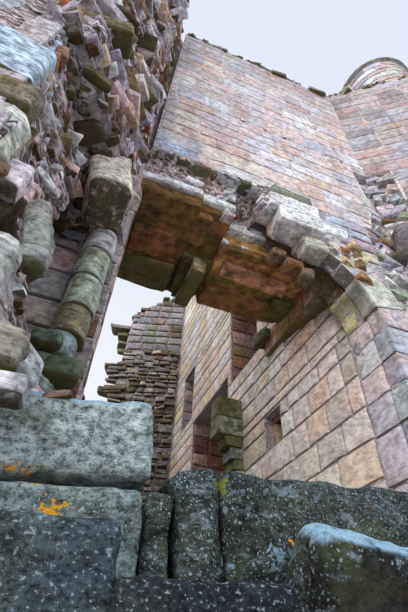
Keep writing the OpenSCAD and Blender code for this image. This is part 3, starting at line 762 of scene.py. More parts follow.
def flat_wall(origin, heading):
    """A wall's face: u runs along the heading, z is up, d stands out to the heading's right."""
    along = level(heading)
    return plane((*origin, 0.0), along, UP, np.array([along[1], -along[0], 0]))


def faced_runs(place, u0, u1, z0, z1, step=0.04):
    """Stretches of a strip where the CAD has its face at the wall's own depth."""
    count = max(2, int((u1 - u0) / step))
    u = np.linspace(u0 + 0.01, u1 - 0.01, count)
    good = np.ones(count, bool)
    for share in (0.12, 0.88):
        z = np.full(count, z0 + share * (z1 - z0))
        gap = probe(place(u, z, np.full(count, 0.06)), -place.out, 0.09)
        good &= np.abs(gap - 0.06) < 0.012
    edges = np.flatnonzero(np.diff(np.r_[0, good.astype(int), 0]))
    return [(u[a], u[b - 1]) for a, b in zip(edges[::2], edges[1::2]) if b - a > 1]


def lay(place, u0, u1, lines, mean, seed, joints=None, ragged=0.16, halves=True):
    """Corners (stones, 4, 2) of all stones between u0 and u1 on courses between the lines.
    joints gives some courses their own cuts; elsewhere each cut strays by up to ragged times the
    mean length. halves allows stones of half a course."""
    rng = np.random.default_rng(seed)
    stones = []
    for row, (z0, z1) in enumerate(zip(lines[:-1], lines[1:])):
        strips = [(a, b, z0, z1) for a, b in faced_runs(place, u0, u1, z0, z1)]
        if halves:
            covered = sum(b - a for a, b, *_ in strips)
            for low, high in ((z0, (z0 + z1) / 2), ((z0 + z1) / 2, z1)):
                runs = faced_runs(place, u0, u1, low, high)
                if sum(b - a for a, b in runs) < covered + 0.12:
                    continue
                for a, b in runs:
                    parts = [(a, b)]
                    for c, d, *_ in [s for s in strips if s[2:] == (z0, z1)]:
                        parts = [q for p, r in parts for q in ((p, min(r, c)), (max(p, d), r))]
                        parts = [(p, r) for p, r in parts if r - p > 0.1]
                    strips += [(p, r, low, high) for p, r in parts]
        given = (joints or {}).get(row)
        for a, b, low, high in strips:
            if given is not None:
                cuts = np.array([a] + [j for j in given if a + 0.1 < j < b - 0.1] + [b])
            else:
                number = max(1, round((b - a) / mean))
                cuts = np.linspace(a, b, number + 1)
                cuts[1:-1] += rng.uniform(-ragged, ragged, number - 1) * mean
            for c, d in zip(cuts[:-1], cuts[1:]):
                stones.append([(c, low), (d, low), (d, high), (c, high)])
    return np.array(stones)


INWARD = np.array([(1, 1), (-1, 1), (-1, -1), (1, -1)])


def jointed(corners, gap, jitter, seed):
    """The same stones drawn in by half a joint on each side, with corners a little off."""
    shaky = np.random.default_rng(seed).normal(0, jitter, corners.shape)
    return corners + INWARD * gap / 2 + shaky


def level_lines(low, high, course, seed, spread=0.12):
    """Course heights from low to high, about one course apart, no two quite the same."""
    number = max(1, round((high - low) / course))
    lines = np.linspace(low, high, number + 1)
    lines[1:-1] += np.random.default_rng(seed).uniform(-spread, spread, number - 1) * course
    return lines


# %% [markdown]
# ## The gate wall's pale facing
# The skin over the gate is the best ashlar of the keep: courses of 0.25 to 0.4 m in pale pink,
# cream and blue-grey. The lower courses, with their joints and colours, are listed one by one; the
# upper ones repeat their rhythm. A row of small sockets, where scaffold poles once sat, opens some
# joints, and the wall gets paler and streaked towards its head.

# %% Gate wall facing
GATE_LINES = [5.76, 6.03, 6.37, 6.62, 6.87, 7.12, 7.36, 7.62, 8.02, 8.29, 8.57]
GATE_LINES += list(level_lines(8.57, 10.93, 0.295, 1)[1:])
GATE_JOINTS = [
    # for each course from the lowest, the places of its upright joints
    [0.27, 0.72, 0.89, 1.27, 1.55, 1.98, 2.13, 2.53, 2.98],
    [0.56, 1.0, 1.41, 1.94, 2.33, 2.64, 3.0],
    [0.2, 0.3, 0.76, 1.26, 1.77, 2.1, 2.5, 2.67, 2.96],
    [0.18, 0.54, 0.99, 1.42, 1.9, 2.25, 2.59, 2.85],
    [0.17, 0.51, 1.17, 1.58, 1.96, 2.33, 2.64, 2.95],
    [0.18, 0.5, 1.1, 1.38, 1.67, 2.12, 2.43, 2.72, 3.0],
    [0.16, 0.73, 1.13, 1.51, 1.9, 2.27, 2.64, 2.95],
    [0.12, 0.55, 0.94, 1.17, 1.56, 1.89, 2.27, 2.62, 2.93],
]
GATE_TINTS = [
    # and the colours of its stones
    "blue white pink white cream white white pink blue cream",
    "blue cream cream pink peach white grey blue",
    "grey white peach pink white white ochre pink cream grey",
    "grey cream rose lilac white white white cream blue",
    "grey cream rose blue peach cream pink blue lilac",
    "grey rose lilac pink blue peach white pink cream blue",
    "lilac peach white white rose white blue cream lilac",
    "pink blue blue grey blue peach pink blue lilac white",
]


def paint(tint, course, along, words_of, rng):
    """Gives the stones of some courses their own colours, in their order along the wall."""
    for key, words in words_of.items():
        own = np.flatnonzero(course == key)
        words = words.split()
        own = own[np.argsort(along[own])][:len(words)]
        tint[own] = named(" ".join(words[:len(own)]), rng)


def open_joints(corners, spots, size):
    """Draws every stone corner that is near a spot away from it, so that a small hole opens."""
    for spot in np.atleast_2d(spots):
        away = corners - spot
        far = np.linalg.norm(away, axis=2)
        near = far < 1.5 * size
        corners[near] = spot + away[near] / (far[near, None] + 1e-6) * 1.1 * size
    return corners


PALE_Z = 8.6
FINE = dict(proud=0.006, wear=0.016, rugged=0.006)
SOCKET_Z, SOCKET_R = 7.62, 0.035
gate_face = flat_wall((0, FACE_Y), 0)
gate = lay(gate_face, -0.08, 3.32, GATE_LINES, 0.42, 3, dict(enumerate(GATE_JOINTS)))
rng = np.random.default_rng(4)
tint = tints("white 3 blue 3 lilac 3 pink 4 cream 3 peach 2 rose 1 grey 2", len(gate), rng)
paint(tint, np.searchsorted(GATE_LINES, gate[:, 0, 1] + 0.01) - 1, gate[:, 0, 0],
      dict(enumerate(GATE_TINTS)), rng)
gate = open_joints(jointed(gate, 0.007, 0.009, 5),
                   [(x, SOCKET_Z) for x in (1.17, 1.56, 1.89, 2.27, 2.62, 2.93)], SOCKET_R)
x, z = gate[:, 0, :1], gate[:, 0, 1:]
high = np.clip((z - PALE_Z) / 2.4, 0, 1)
tint = (blend(tint, (0.80, 0.755, 0.76), 0.5) * (1.16 - 0.7 * high) * (1.02, 1.0, 0.96)
        + linear((0.68, 0.65, 0.68)) * 0.5 * high)
streaks = np.sin(x * 7.0 + 1.2) * np.sin(x * 2.3) * np.clip(z - 7, 0, 1)
faced_piece("gate_wall_ashlar", PALE, "ashlar_pink", gate_face, gate,
            tint * (1 - 0.16 * np.clip(streaks, 0, 1)), (x[:, 0] < 0.4) * 0.7, grid=(11, 8),
            seed=6, **FINE)

# %% [markdown]
# ## The canted wall beside the gate
# The wall turns through 35 degrees towards the eye. Its courses line up with nothing on the gate
# wall, and white lichen has got hold of many of its stones.

# %% Canted wall
canted_face = flat_wall((3.3, FACE_Y), -35.3)
lines = np.concatenate([level_lines(0, 3.1, 0.32, 7), level_lines(3.1, 6.58, 0.29, 8)[1:],
                        level_lines(6.58, 7.42, 0.28, 9)[1:],
                        level_lines(7.42, 10.94, 0.27, 10)[1:]])
canted = lay(canted_face, 0, 2.7, lines, 0.46, 11)
tint = tints("white 3 blue 2 lilac 3 pink 4 rose 2 cream 2 mauve 2 grey 1", len(canted), 13)
faced_piece("canted_wall_ashlar", PALE, "ashlar_pink", canted_face,
            jointed(canted, 0.009, 0.006, 12), tint * 0.41 + linear((0.72, 0.67, 0.66)) * 0.42,
            grid=(8, 6), seed=14, **FINE)

# %% [markdown]
# ## The room's right wall
# Seen through the gate: large pink and orange blocks close by, duller ones further in. The courses
# break round the small window, the tall embrasure, the hearth and the far window by themselves,
# because the probe finds no face there.

# %% Right wall of the room
ROOM_X, GATE_BACK = 2.4, 3.76
FAR_END, LIT_END, FINE_END = 12.0, 6.7, 5.6
SPLAY = 0.22 / 1.048


def room_face(u, z, d):
    """u runs from the far end towards the eye, so that the face looks into the room. In the gate
    passage the face splays outwards; there each point slides along its line of sight on to the
    splayed face, so that the bed joints run on without a bend."""
    y = FAR_END - u
    slide = np.where(y < GATE_BACK, (ROOM_X + SPLAY * GATE_BACK) / (ROOM_X + SPLAY * y), 1.0)
    return np.stack([ROOM_X * slide - d, y * slide, EYE_Z + (z - EYE_Z) * slide], -1)


room_face.along, room_face.out = np.array([0.0, -1.0, 0]), np.array([-1.0, 0, 0])
ROOM_LINES = [*level_lines(0, 2.92, 0.31, 15), 3.22, 3.54, 3.83, 4.03, 4.17, 4.46, 4.71, 4.96,
              5.22, 5.45, 5.78, 6.07, 6.37, 6.6, 6.9, 7.04, 7.19, 7.5, 7.83, 8.15]
ROOM_LINES += list(level_lines(8.15, 10.75, 0.3, 16)[1:])
NEAR = {
    # foot of a course: the y of its joints from the near end, and its stones' colours
    2.92: ([2.9, 3.33, 3.62, 3.96], "lilac grey cream grey"),
    3.22: ([2.71, 3.08, 3.45, 3.77, 4.15, 4.55], "pink mauve peach lilac white grey white"),
    3.54: ([2.72, 2.96, 3.35, 3.69], "brown pink orange lilac white"),
    3.83: ([2.74, 3.1, 3.52, 3.78], "bark pink lilac lilac grey"),
    4.03: ([2.68, 3.2], "bark pink peach"),
    4.17: ([3.24, 3.69, 4.05, 4.67], "pink peach peach lilac cream"),
    4.46: ([2.97, 3.53, 3.85, 4.17, 4.55], "green orange pink white ochre lilac"),
    4.71: ([3.0, 3.69, 4.11, 4.6, 4.85], "orange orange green cream green white"),
}
joints = {ROOM_LINES.index(z): sorted(FAR_END - y for y in cuts) for z, (cuts, _) in NEAR.items()}
room = lay(room_face, FAR_END - 9.05, FAR_END - 2.5, ROOM_LINES, 0.5, 17, joints)
y_of, z_of = FAR_END - room[:, :, 0].mean(1), room[:, 0, 1]
rng = np.random.default_rng(18)
tint = tints("pink 4 peach 4 cream 3 lilac 3 white 2 rose 1 grey 1 ochre 1", len(room), rng)
patch = (y_of < 3.9) & (z_of > 4.4) & (z_of < 5.3)
tint[patch] = tints("orange 3 rust 1 peach 2", int(patch.sum()), rng)
paint(tint, np.round(z_of, 2), y_of, {z: words for z, (_, words) in NEAR.items()}, rng)
# The wall's tints are paled and raised 1.22 times as painted light, because the wall stands in the
# room's shade.
tint = blend(tint, (0.86, 0.80, 0.75), 0.25) * 1.22
# The near part catches more daylight than the far part.
tint = np.where((y_of < LIT_END)[:, None],
                blend(tint * (1.12, 1.1, 1.0), (0.98, 0.93, 0.88), 0.4), tint * (0.86, 0.89, 0.80))
tint = np.minimum(tint, 0.95)
mossy_end = np.exp(-((y_of - 4.95) / 0.3) ** 2) * (z_of < 5.2) * 0.8
near = y_of < FINE_END
room = jointed(room, 0.01, 0.006, 19)
faced_piece("right_wall_ashlar_near", WARM, "ashlar_pink", room_face, room[near], tint[near],
            mossy_end[near], proud=0.012, wear=0.02, rugged=0.006, grid=(12, 9), seed=20)
faced_piece("right_wall_ashlar_far", WARM, "ashlar_pink", room_face, room[~near], tint[~near],
            0.1, proud=0.01, wear=0.02, rugged=0.005, grid=(7, 5), seed=21)

# %% [markdown]
# ## Every other wall face
# The faces that the photograph doesn't show are built like the ones it shows. Each is one row of
# numbers: where the face starts in plan, its heading, its length, its heights, the size of its
# stones, and the mix of its colours. Coarser grids are enough here.

# %% Plain walls
SKEW = 17.7
COS_SKEW, SIN_SKEW = math.cos(math.radians(SKEW)), math.sin(math.radians(SKEW))
BACK_Y, LEFT_X = 9.1, -3.6
MIXES = {
    "outer": "grey 3 pink 3 lilac 2 cream 2 mauve 2 peach 1 blue 1 green 1",
    "inner": "pink 3 peach 2 grey 3 cream 2 lilac 2 mauve 1",
    "high": "blue 3 lilac 3 grey 2 white 2 pink 2",
    "warm": "ochre 3 tan 3 orange 2 peach 1 olive 1",
    "jamb": "mauve 3 grey 4 pink 2 brown 2",
    "tan": "rust 2 tan 3 peach 1 mauve 1",
    "hearth": "rust 2 tan 3 brown 2 peach 1",
    "passage": "pink 3 peach 2 tan 2 mauve 3 olive 1",
}
# Name, x, y, heading, u from and to, z from and to, height of a course, mean length, growth, mix,
# slot. The back wall's outer face heads for 180 degrees less SKEW.
PLAIN = """
    left_inner        -2.0  0     90    3.8   10.4 0    9.4   0.31 0.55 0.3 inner   ashlar_pink
    gate_inner        2.4   3.76  180   0.02  4.38 0    10.9  0.31 0.55 0.3 inner   ashlar_pink
    left_outer        -3.6  12.0  -90   -0.25 11.1 0    10.6  0.32 0.6  0.2 outer   ashlar_grey
    right_outer       4.0   0     90    3.88  9.85 0    10.9  0.32 0.6  0.2 outer   ashlar_pink
    back_outer        4.0   9.849 162.3 0.03  7.95 0    10.9  0.32 0.6  0.3 outer   ashlar_grey
    pier_front        -3.6  0.88  0     0.0   3.2  0    3.0   0.33 0.6  0.3 outer   ashlar_grey
    gate_jamb_left    -2.0  2.4   0     1.38  2.0  2.2  4.2   0.3  0.33 0.5 jamb    mossy_stone
    tower_front       5.504 0.640 50    0.0   1.5  0    10.9  0.3  0.5  0.2 outer   ashlar_pink
    tower_side        6.468 1.789 90    0.0   1.3  0    10.96 0.3  0.5  0.2 outer   ashlar_buff
    tower_corner      6.468 3.089 135   0.0   1.07 0    10.85 0.3  0.5  0.2 outer   ashlar_grey
    tower_back        5.708 3.849 180   0.0   1.7  0    10.9  0.3  0.5  0.2 outer   ashlar_pink
    embrasure_side    2.4   5.48  0     0.01  0.9  5.23 7.03  0.3  0.42 0.3 warm    ashlar_buff
    embrasure_back    3.3   12.0  -90   6.53  7.54 5.23 7.03  0.3  0.36 0.3 warm    ashlar_buff
    far_window_side   2.4   8.38  0     0.01  1.6  5.65 7.05  0.28 0.42 0.6 inner   ashlar_buff
    hearth_side       2.4   7.47  0     0.01  0.8  0    5.45  0.3  0.4  0.1 tan     ashlar_buff
    hearth_back       3.2   12.0  -90   4.54  6.34 0    5.45  0.3  0.45 0.2 hearth  ashlar_buff
    pier_front_middle -3.6  0.88  0     0.0   2.0  3.0  5.02  0.33 0.6  0.3 outer   ashlar_grey
    pier_front_high   -3.6  0.88  0.4   0.0   3.0  5.03 10.9  0.33 0.6  0.3 high    ashlar_grey
    gate_passage_left 0     0     90    2.42  3.74 0    5.17  0.3  0.42 0.5 passage mossy_stone"""
for number, row in enumerate(PLAIN.strip().splitlines()):
    name, *numbers, mix, slot = row.split()
    x, y, heading, u0, u1, z0, z1, course, mean, growth = map(float, numbers)
    face = flat_wall((x, y), heading)
    stones = lay(face, u0, u1, level_lines(z0, z1, course, 30 + number), mean, 60 + number)
    tint = tints(MIXES[mix], len(stones), 120 + number)
    if mix in ("inner", "outer", "high"):
        tint = blend(tint, (0.72, 0.665, 0.645), 0.5)
    faced_piece(name + "_stones", ASHLAR, slot, face, jointed(stones, 0.016, 0.005, 90 + number),
                tint, growth, proud=0.014, wear=0.028, rugged=0.006, grid=(5, 4),
                seed=150 + number)

# %% [markdown]
# ## The back wall
# Above, grey-mauve ashlar; below it the facing has gone and thin slabs of rubble show in level
# courses. At its torn left end a few long stones still stick out against the sky.

# %% Back wall
RUN = 8.0
back_face = flat_wall((ROOM_X - RUN * COS_SKEW, BACK_Y + RUN * SIN_SKEW), -SKEW)
FACING_Z = 8.42
ENDS = back_face, 0.2, RUN - 0.02
ashlar = lay(*ENDS, level_lines(FACING_Z, 10.75, 0.25, 200), 0.4, 201)
faced_piece("back_wall_ashlar", ASHLAR, "ashlar_grey", back_face,
            jointed(ashlar, 0.014, 0.006, 202),
            tints("mauve 2 grey 6 lilac 1 green 1 olive 1", len(ashlar), 203) * 0.75, 0.5,
            proud=0.03, wear=0.025, rugged=0.01, grid=(8, 6), seed=204)
thin = np.concatenate([
    lay(*ENDS, level_lines(3.0, FACING_Z, 0.125, 205, 0.3), 0.27, 206, ragged=0.3, halves=False),
    lay(*ENDS, level_lines(0, 3.0, 0.16, 207, 0.3), 0.32, 208, ragged=0.3)])
rng = np.random.default_rng(209)
# Above the back wall's low part, the first stone of each course is a tusk: it reaches out past
# the torn end by its own amount.
LOW_PART_Z = 4.2
for z in np.unique(thin[:, 0, 1]):
    course = np.flatnonzero(thin[:, 0, 1] == z)
    first = course[thin[course, 0, 0].argmin()]
    thin[first, [0, 3], 0] -= rng.uniform(0.05, 0.42) * (z > LOW_PART_Z)
centre = thin.mean(1)
size = np.abs(thin[:, 2] - thin[:, 0])
stand = rng.uniform(-0.06, 0.08, len(thin))
rubble = Heap()
blocks(rubble, back_face(centre[:, 0], centre[:, 1], stand - 0.04),
       np.c_[size[:, 0] / 2 - 0.006, np.full(len(thin), 0.1), size[:, 1] / 2 - 0.008],
       blend(tints("olive 2 brown 2 mauve 3 grey 5 green 1 cream 1", len(thin), rng),
             (0.50, 0.46, 0.38), 0.2),
       0.5, radius=0.03, n=3, wear=0.014, lump=0.1, cuts=3, cut_depth=0.35, seed=210,
       axes=turned(back_face.along, back_face.out, rng.normal(0, 0.06, (len(thin), 3))))
tusk = np.array([
    # distance from the corner with the right wall, height, half length, half height
    (1.92, 9.26, 0.32, 0.07), (1.80, 8.95, 0.16, 0.06), (1.78, 8.66, 0.14, 0.05),
    (1.95, 7.82, 0.14, 0.09), (2.0, 7.08, 0.12, 0.08), (1.5, 9.75, 0.14, 0.07),
    (1.25, 10.05, 0.16, 0.06)])
blocks(rubble, back_face(RUN - tusk[:, 0], tusk[:, 1], np.full(len(tusk), -0.16)),
       np.c_[tusk[:, 2], np.full(len(tusk), 0.2), tusk[:, 3]],
       tints("brown 2 olive 2 mauve 2", len(tusk), rng), 0.5, radius=0.02,
       axes=turned(back_face.along, back_face.out, rng.normal(0, 0.05, (len(tusk), 3))), n=7,
       wear=0.015, cuts=5, cut_depth=0.25, seed=211)
rubble.piece("back_wall_rubble", RUBBLE, "rubble_core")

# %% [markdown]
# ## The round cap-house
# Its wall bends, so u is the arc length and the face's own direction turns with it. The stones
# are the same faced grids; only the function that places them changes. The low dome is laid the
# same way, with rings that climb and shrink.

# %% Cap-house
CAP = np.array([5.3, 2.24, 0.0])
CAP_R, CAP_FOOT, CAP_TOP, STRING_TOP, DOME_RISE = 0.85, 10.96, 13.26, 13.38, 0.42


def round_wall(radius):
    """u is the length along a circle of that radius, z is up, d stands out from the circle."""
    def place(u, z, d):
        angle = u / radius
        ring = np.stack([np.cos(angle), np.sin(angle), 0 * angle], -1)
        return CAP + (radius + d)[..., None] * ring + z[..., None] * UP
    return place


def dome(u, z, d):
    """u is the length along the dome's foot, z climbs from 0 at the foot to 1 at the crown: the
    point slides up an arc of the dome's ball."""
    ball = (CAP_R ** 2 + DOME_RISE ** 2) / (2 * DOME_RISE)
    lean = np.arcsin(CAP_R / ball) * (1 - z)
    angle = u / CAP_R
    reach = (ball + d) * np.sin(lean)
    return CAP + np.stack([reach * np.cos(angle), reach * np.sin(angle),
                           STRING_TOP + DOME_RISE - ball + (ball + d) * np.cos(lean)], -1)


def ring_stones(u_end, lines, number, doors=()):
    """Stones of whole rings, each ring's joints shifted by half a stone; none where a door is,
    which is given by its two sides and its head."""
    stones = []
    for row, (low, high) in enumerate(zip(lines[:-1], lines[1:])):
        count = number if np.isscalar(number) else number[row]
        cuts = (np.arange(count + 1) + row % 2 / 2) * u_end / count
        stones += [[(a, low), (b, low), (b, high), (a, high)] for a, b in zip(cuts, cuts[1:])
                   if not any(low < z and x0 < a % u_end + (b - a) and x1 > a % u_end
                              for x0, x1, z in doors)]
    return np.array(stones)


rng = np.random.default_rng(220)
turn = 2 * math.pi * CAP_R
door = (turn / 4 - 0.31, turn / 4 + 0.31, 12.7)
cap = ring_stones(turn, level_lines(CAP_FOOT, CAP_TOP, 0.255, 221), 12, [door])
cap_heap = Heap()
faced_stones(cap_heap, round_wall(CAP_R), jointed(cap, 0.012, 0.004, 222),
             tints("cream 3 pink 3 grey 3 white 1", len(cap), rng) * 0.9, 0.1, proud=0.014,
             grid=(8, 6), seed=223)
band = ring_stones(2 * math.pi * (CAP_R + 0.06), [CAP_TOP + 0.005, STRING_TOP - 0.005], 14)
faced_stones(cap_heap, round_wall(CAP_R + 0.06), jointed(band, 0.01, 0.003, 224),
             tints("grey 3 olive 2", len(band), rng), 0.6, proud=0.02, grid=(8, 5), seed=225)
cap_heap.piece("cap_house_ashlar", ASHLAR, "ashlar_grey")
roof = ring_stones(turn, [0.0, 0.24, 0.48, 0.7, 0.88, 0.99], [16, 13, 10, 7, 5])
faced_piece("cap_dome_slabs", MOSSY, "mossy_stone", dome, roof + INWARD * (0.008, 0.012),
            tints("olive 4 green 2 brown 1 grey 1", len(roof), rng), 1.0, proud=0.03, wear=0.04,
            rugged=0.015, grid=(7, 5), seed=226)

# %% [markdown]
# ## The two-order arch
# The gate's arch has two rings of voussoirs, one set back behind the other with a dark groove
# between. Jamb and ring are one run of stones: below the springing a stone's height is its own z,
# above it the same length is wound round the arch's centre. So one function bends straight blocks
# into voussoirs, and the joints stay radial.

# %% Arch and jamb stones
ARCH_X, SPRING_Z, ARCH_R, RING_H = 1.54, 3.98, 1.08, 0.37
GATE_W = ARCH_X + ARCH_R
ORDER_BACK = 2.712


def wound(r, y, h):
    """r is the depth into the stone from the soffit, h the length up the jamb and then along the
    soffit: straight up to the springing, then round the arch's centre."""
    angle = np.clip(h - SPRING_Z, 0, None) / ARCH_R
    x = np.where(h > SPRING_Z, ARCH_X + (ARCH_R + r) * np.cos(angle), GATE_W + r)
    z = np.where(h > SPRING_Z, SPRING_Z + (ARCH_R + r) * np.sin(angle), h)
    return np.stack([x, y, z], -1)


def order_piece(name, material, slot, y0, y1, lines, tint, growth, seed):
    """One order: a block for each length between the lines, drawn in by half a joint, bent by
    wound(). Its front stands a little proud of the CAD's."""
    low, high = np.array(lines[:-1]), np.array(lines[1:])
    rng = np.random.default_rng(seed)
    number = len(low)
    shape, push, quads, rim = block_shapes(
        np.c_[np.full(number, RING_H / 2 + 0.01), np.full(number, (y1 - y0) / 2 + 0.01),
              (high - low) / 2 - 0.006], np.full(number, 0.014), 8, seed + 1)
    lean = rng.normal(0, 0.006, (number, 1))
    r = shape[..., 0] + RING_H / 2 + lean
    y = shape[..., 1] + (y0 + y1) / 2 + rng.normal(0, 0.004, (number, 1))
    h = shape[..., 2] + ((low + high) / 2)[:, None]
    key = np.stack([r, y, h], -1)
    bump = 0.009 * rough(key, 0.13, seed + 2)
    at = wound(r + push[..., 0] * bump, y + push[..., 1] * bump, h + push[..., 2] * bump)
    heap = Heap()
    heap.add(at, [quads], tint, growth, rim)
    heap.piece(name, material, slot)


OUTER_END, INNER_END = (SPRING_Z + math.radians(angle) * ARCH_R for angle in (60, 35))
# Both orders have the same beds up the jamb and over the springing, as far as the inner one goes.
INNER_LINES = [0, 0.33, 0.64, 0.98, 1.3, 1.6, 1.93, 2.24, 2.6, 3.04, 3.37, 3.66, 3.98, 4.222,
               INNER_END]
JAMB_TINTS = "mauve grey mauve grey olive mauve grey"
OUTER_TINTS = JAMB_TINTS + " blue lilac blue lilac blue pink cream white blue"
INNER_TINTS = JAMB_TINTS + " grey lilac grey rose blue pink ochre"
# The inner order's tints are raised 1.8 times as painted light: its stones face down into the
# passage and get little light there.
order_piece("arch_inner_voussoirs", WARM, "ashlar_buff", ORDER_BACK - 0.3, ORDER_BACK,
            INNER_LINES, np.minimum(named(INNER_TINTS, 232) * 1.8, 0.92), [0.3] * 13 + [0.5], 233)
order_piece("arch_voussoirs", ASHLAR, "ashlar_grey", FACE_Y, 2.39,
            [*INNER_LINES, 4.87, OUTER_END],
            np.minimum(named(OUTER_TINTS, 230) * (1.0, 1.06, 1.08), 0.62), 0.15, 231)

# %% [markdown]
# ## Facing beside and over the arch
# Level courses run up to the ring's back, and over the haunch they end in steps: whole blocks
# that stick out where their neighbours have fallen, with mossy undersides. These are placed one
# by one.

# %% Pier face and haunch
PIER_LINES = [*level_lines(0, 3.3, 0.31, 240), 3.6, 3.86, 4.14, 4.42, 4.68, 4.98, 5.19, 5.39,
              5.56, 5.76]
pier = lay(gate_face, 1.9, 3.3, PIER_LINES, 0.36, 241)
middle = pier.mean(1)
ring_far = np.hypot(pier[:, :, 0] - ARCH_X, np.clip(pier[:, :, 1] - SPRING_Z, 0, None))
ring_out = ARCH_R + RING_H
keep = (ring_far.max(1) > ring_out + 0.12) & (middle[:, 0] > 2.6) | (middle[:, 1] > 5.0)
pier = pier[keep]
low_edge = np.maximum(pier[..., 1] - SPRING_Z, 0)
ring_x = ARCH_X + np.sqrt(np.clip((ring_out + 0.012) ** 2 - low_edge ** 2, 0, None))
below_top = pier[..., 1] < SPRING_Z + ring_out
pier[..., 0] = np.where(below_top, np.maximum(pier[..., 0], ring_x), pier[..., 0])
# What is left of a stone too narrow to show is dropped.
pier = pier[(pier[:, 1, 0] - pier[:, 0, 0] > 0.06) & (pier[:, 2, 0] - pier[:, 3, 0] > 0.04)]
faced_piece("gate_pier_ashlar", PALE, "ashlar_buff", gate_face, jointed(pier, 0.012, 0.004, 242),
            tints("white 2 blue 4 lilac 3 pink 2 cream 1", len(pier), 243),
            (pier[:, 0, 1] > 4.2) * 0.4, proud=0.014, wear=0.022, grid=(9, 7), seed=244)

set_stones("haunch_blocks", SHELTERED, "ashlar_grey", 250, """
    1.76 2.29 5.76 0.27 0.17 0.085 1.5 green
    1.73 2.26 5.50 0.35 0.16 0.130 0.5 snow
    1.80 2.24 5.20 0.28 0.17 0.125 0.5 snow
    2.00 2.29 4.96 0.15 0.12 0.090 0.6 cream
    2.36 2.29 5.62 0.25 0.10 0.100 0.4 blue
    2.30 2.28 5.38 0.20 0.11 0.100 0.5 white
    0.30 2.27 5.885 0.25 0.09 0.140 0.6 blue
    0.95 2.28 5.80 0.16 0.09 0.070 0.4 white
    1.38 2.67 5.43 0.27 0.07 0.075 0.3 snow
    0.28 2.36 5.415 0.40 0.05 0.050 0.1 snow
    0.14 2.275 5.755 0.125 0.09 0.022 1.0 olive
    0.50 2.27 5.755 0.215 0.09 0.025 1.0 moss
    0.81 2.28 5.755 0.08 0.08 0.020 1.0 olive
    1.08 2.27 5.755 0.185 0.09 0.025 1.0 moss
    0.90 2.41 5.43 0.20 0.06 0.050 0.2 snow
    1.66 2.50 4.93 0.09 0.10 0.060 0.1 brown
    1.84 2.50 4.84 0.11 0.10 0.055 0.1 tan
    2.00 2.52 4.74 0.08 0.11 0.060 0.4 brown
    """, radius=0.025, tilt=0.015, n=8, wear=0.012, lump=0.12, cuts=2, cut_depth=0.08)

# %% [markdown]
# ## Lintels and the broken mullion
# Behind the arch, flat brown slabs span the gate. From below only their soffits show: rough,
# damp and streaked with moss. Each slab is one big block with a fine grid, a few millimetres
# outside its CAD solid, which it stands for.

# %% Lintel slabs
def slab_piece(node, name, slot, tint, growth, seed, n, light=1.0, radius=0.03, wear=0.014):
    """A worn block in the place of a CAD node: its box, swollen by 4 mm."""
    near, far = (np.array(corner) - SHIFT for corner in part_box(node))
    near, far = near - 0.004, far + 0.004
    block_piece(name, BROWN, slot, (near + far) / 2, (far - near) / 2,
                named(tint, seed)[:1] * light, growth, radius, n=n, wear=wear, lump=0.22,
                seed=seed, stands_for=[node])


for node, tint, growth, wear, light in (("lintel_left", "umber", 0.15, 0.012, 1.0),
                                        ("lintel_middle", "umber", 0.3, 0.016, 1.0),
                                        ("lintel_right_front", "tan", 0.1, 0.01, 1.6),
                                        ("lintel_right_back", "tan", 1.2, 0.012, 1.6)):
    slab_piece(node, node + "_slab", "lintel_brown", tint, growth, 260, 26, light, wear=wear)
# Layers of stone that are left under the slabs.
set_stones("soffit_layers", BROWN, "lintel_brown", 268, """
    0.33 3.50 5.165 0.33 0.24 0.035 0.9 olive
    0.30 3.02 5.175 0.26 0.20 0.025 0.0 umber
    0.78 2.72 5.260 0.10 0.24 0.060 0.6 tan
    1.62 2.76 5.165 0.50 0.05 0.045 0.7 tan
    1.72 3.10 5.170 0.50 0.13 0.030 0.0 orange
    1.70 3.56 5.150 0.58 0.17 0.050 0.7 tan
    2.20 3.45 5.130 0.16 0.20 0.050 1.4 olive
    """, radius=0.02, tilt=0.02, n=12, wear=0.016, lump=0.16, cuts=4, cut_depth=0.12)
corbel = Heap()
corbel_cuts = [2.72, 3.05, 3.42, 3.75, 4.09]
for y0, y1 in zip(corbel_cuts, corbel_cuts[1:]):
    blocks(corbel, (2.44, (y0 + y1) / 2, 5.015), (0.12, (y1 - y0) / 2 - 0.005, 0.18),
           named("tan", int(y0 * 100)), 0.6, 0.02, n=8, wear=0.01, seed=int(y0 * 10))
corbel.piece("corbel_stones", WARM, "mossy_stone")
# The broken mullion's head.
set_stones("mullion_stub_stones", MOSSY, "mossy_stone", 262, """
    0.925 3.42 5.12 0.088 0.33 0.125 0.8 ochre
    0.900 3.43 5.25 0.200 0.33 0.050 0.8 olive
    0.775 3.40 5.16 0.060 0.28 0.050 0.8 bark
    """, ["mullion_stub"], radius=0.02, tilt=0.02, n=8, wear=0.012, cuts=1, cut_depth=0.1)

# %% [markdown]
# ## Hearth pier and window frame
# Two small things catch the eye inside: a mossy pier that is corbelled out beside the hearth, and
# the frame of four thin stones in the little window.

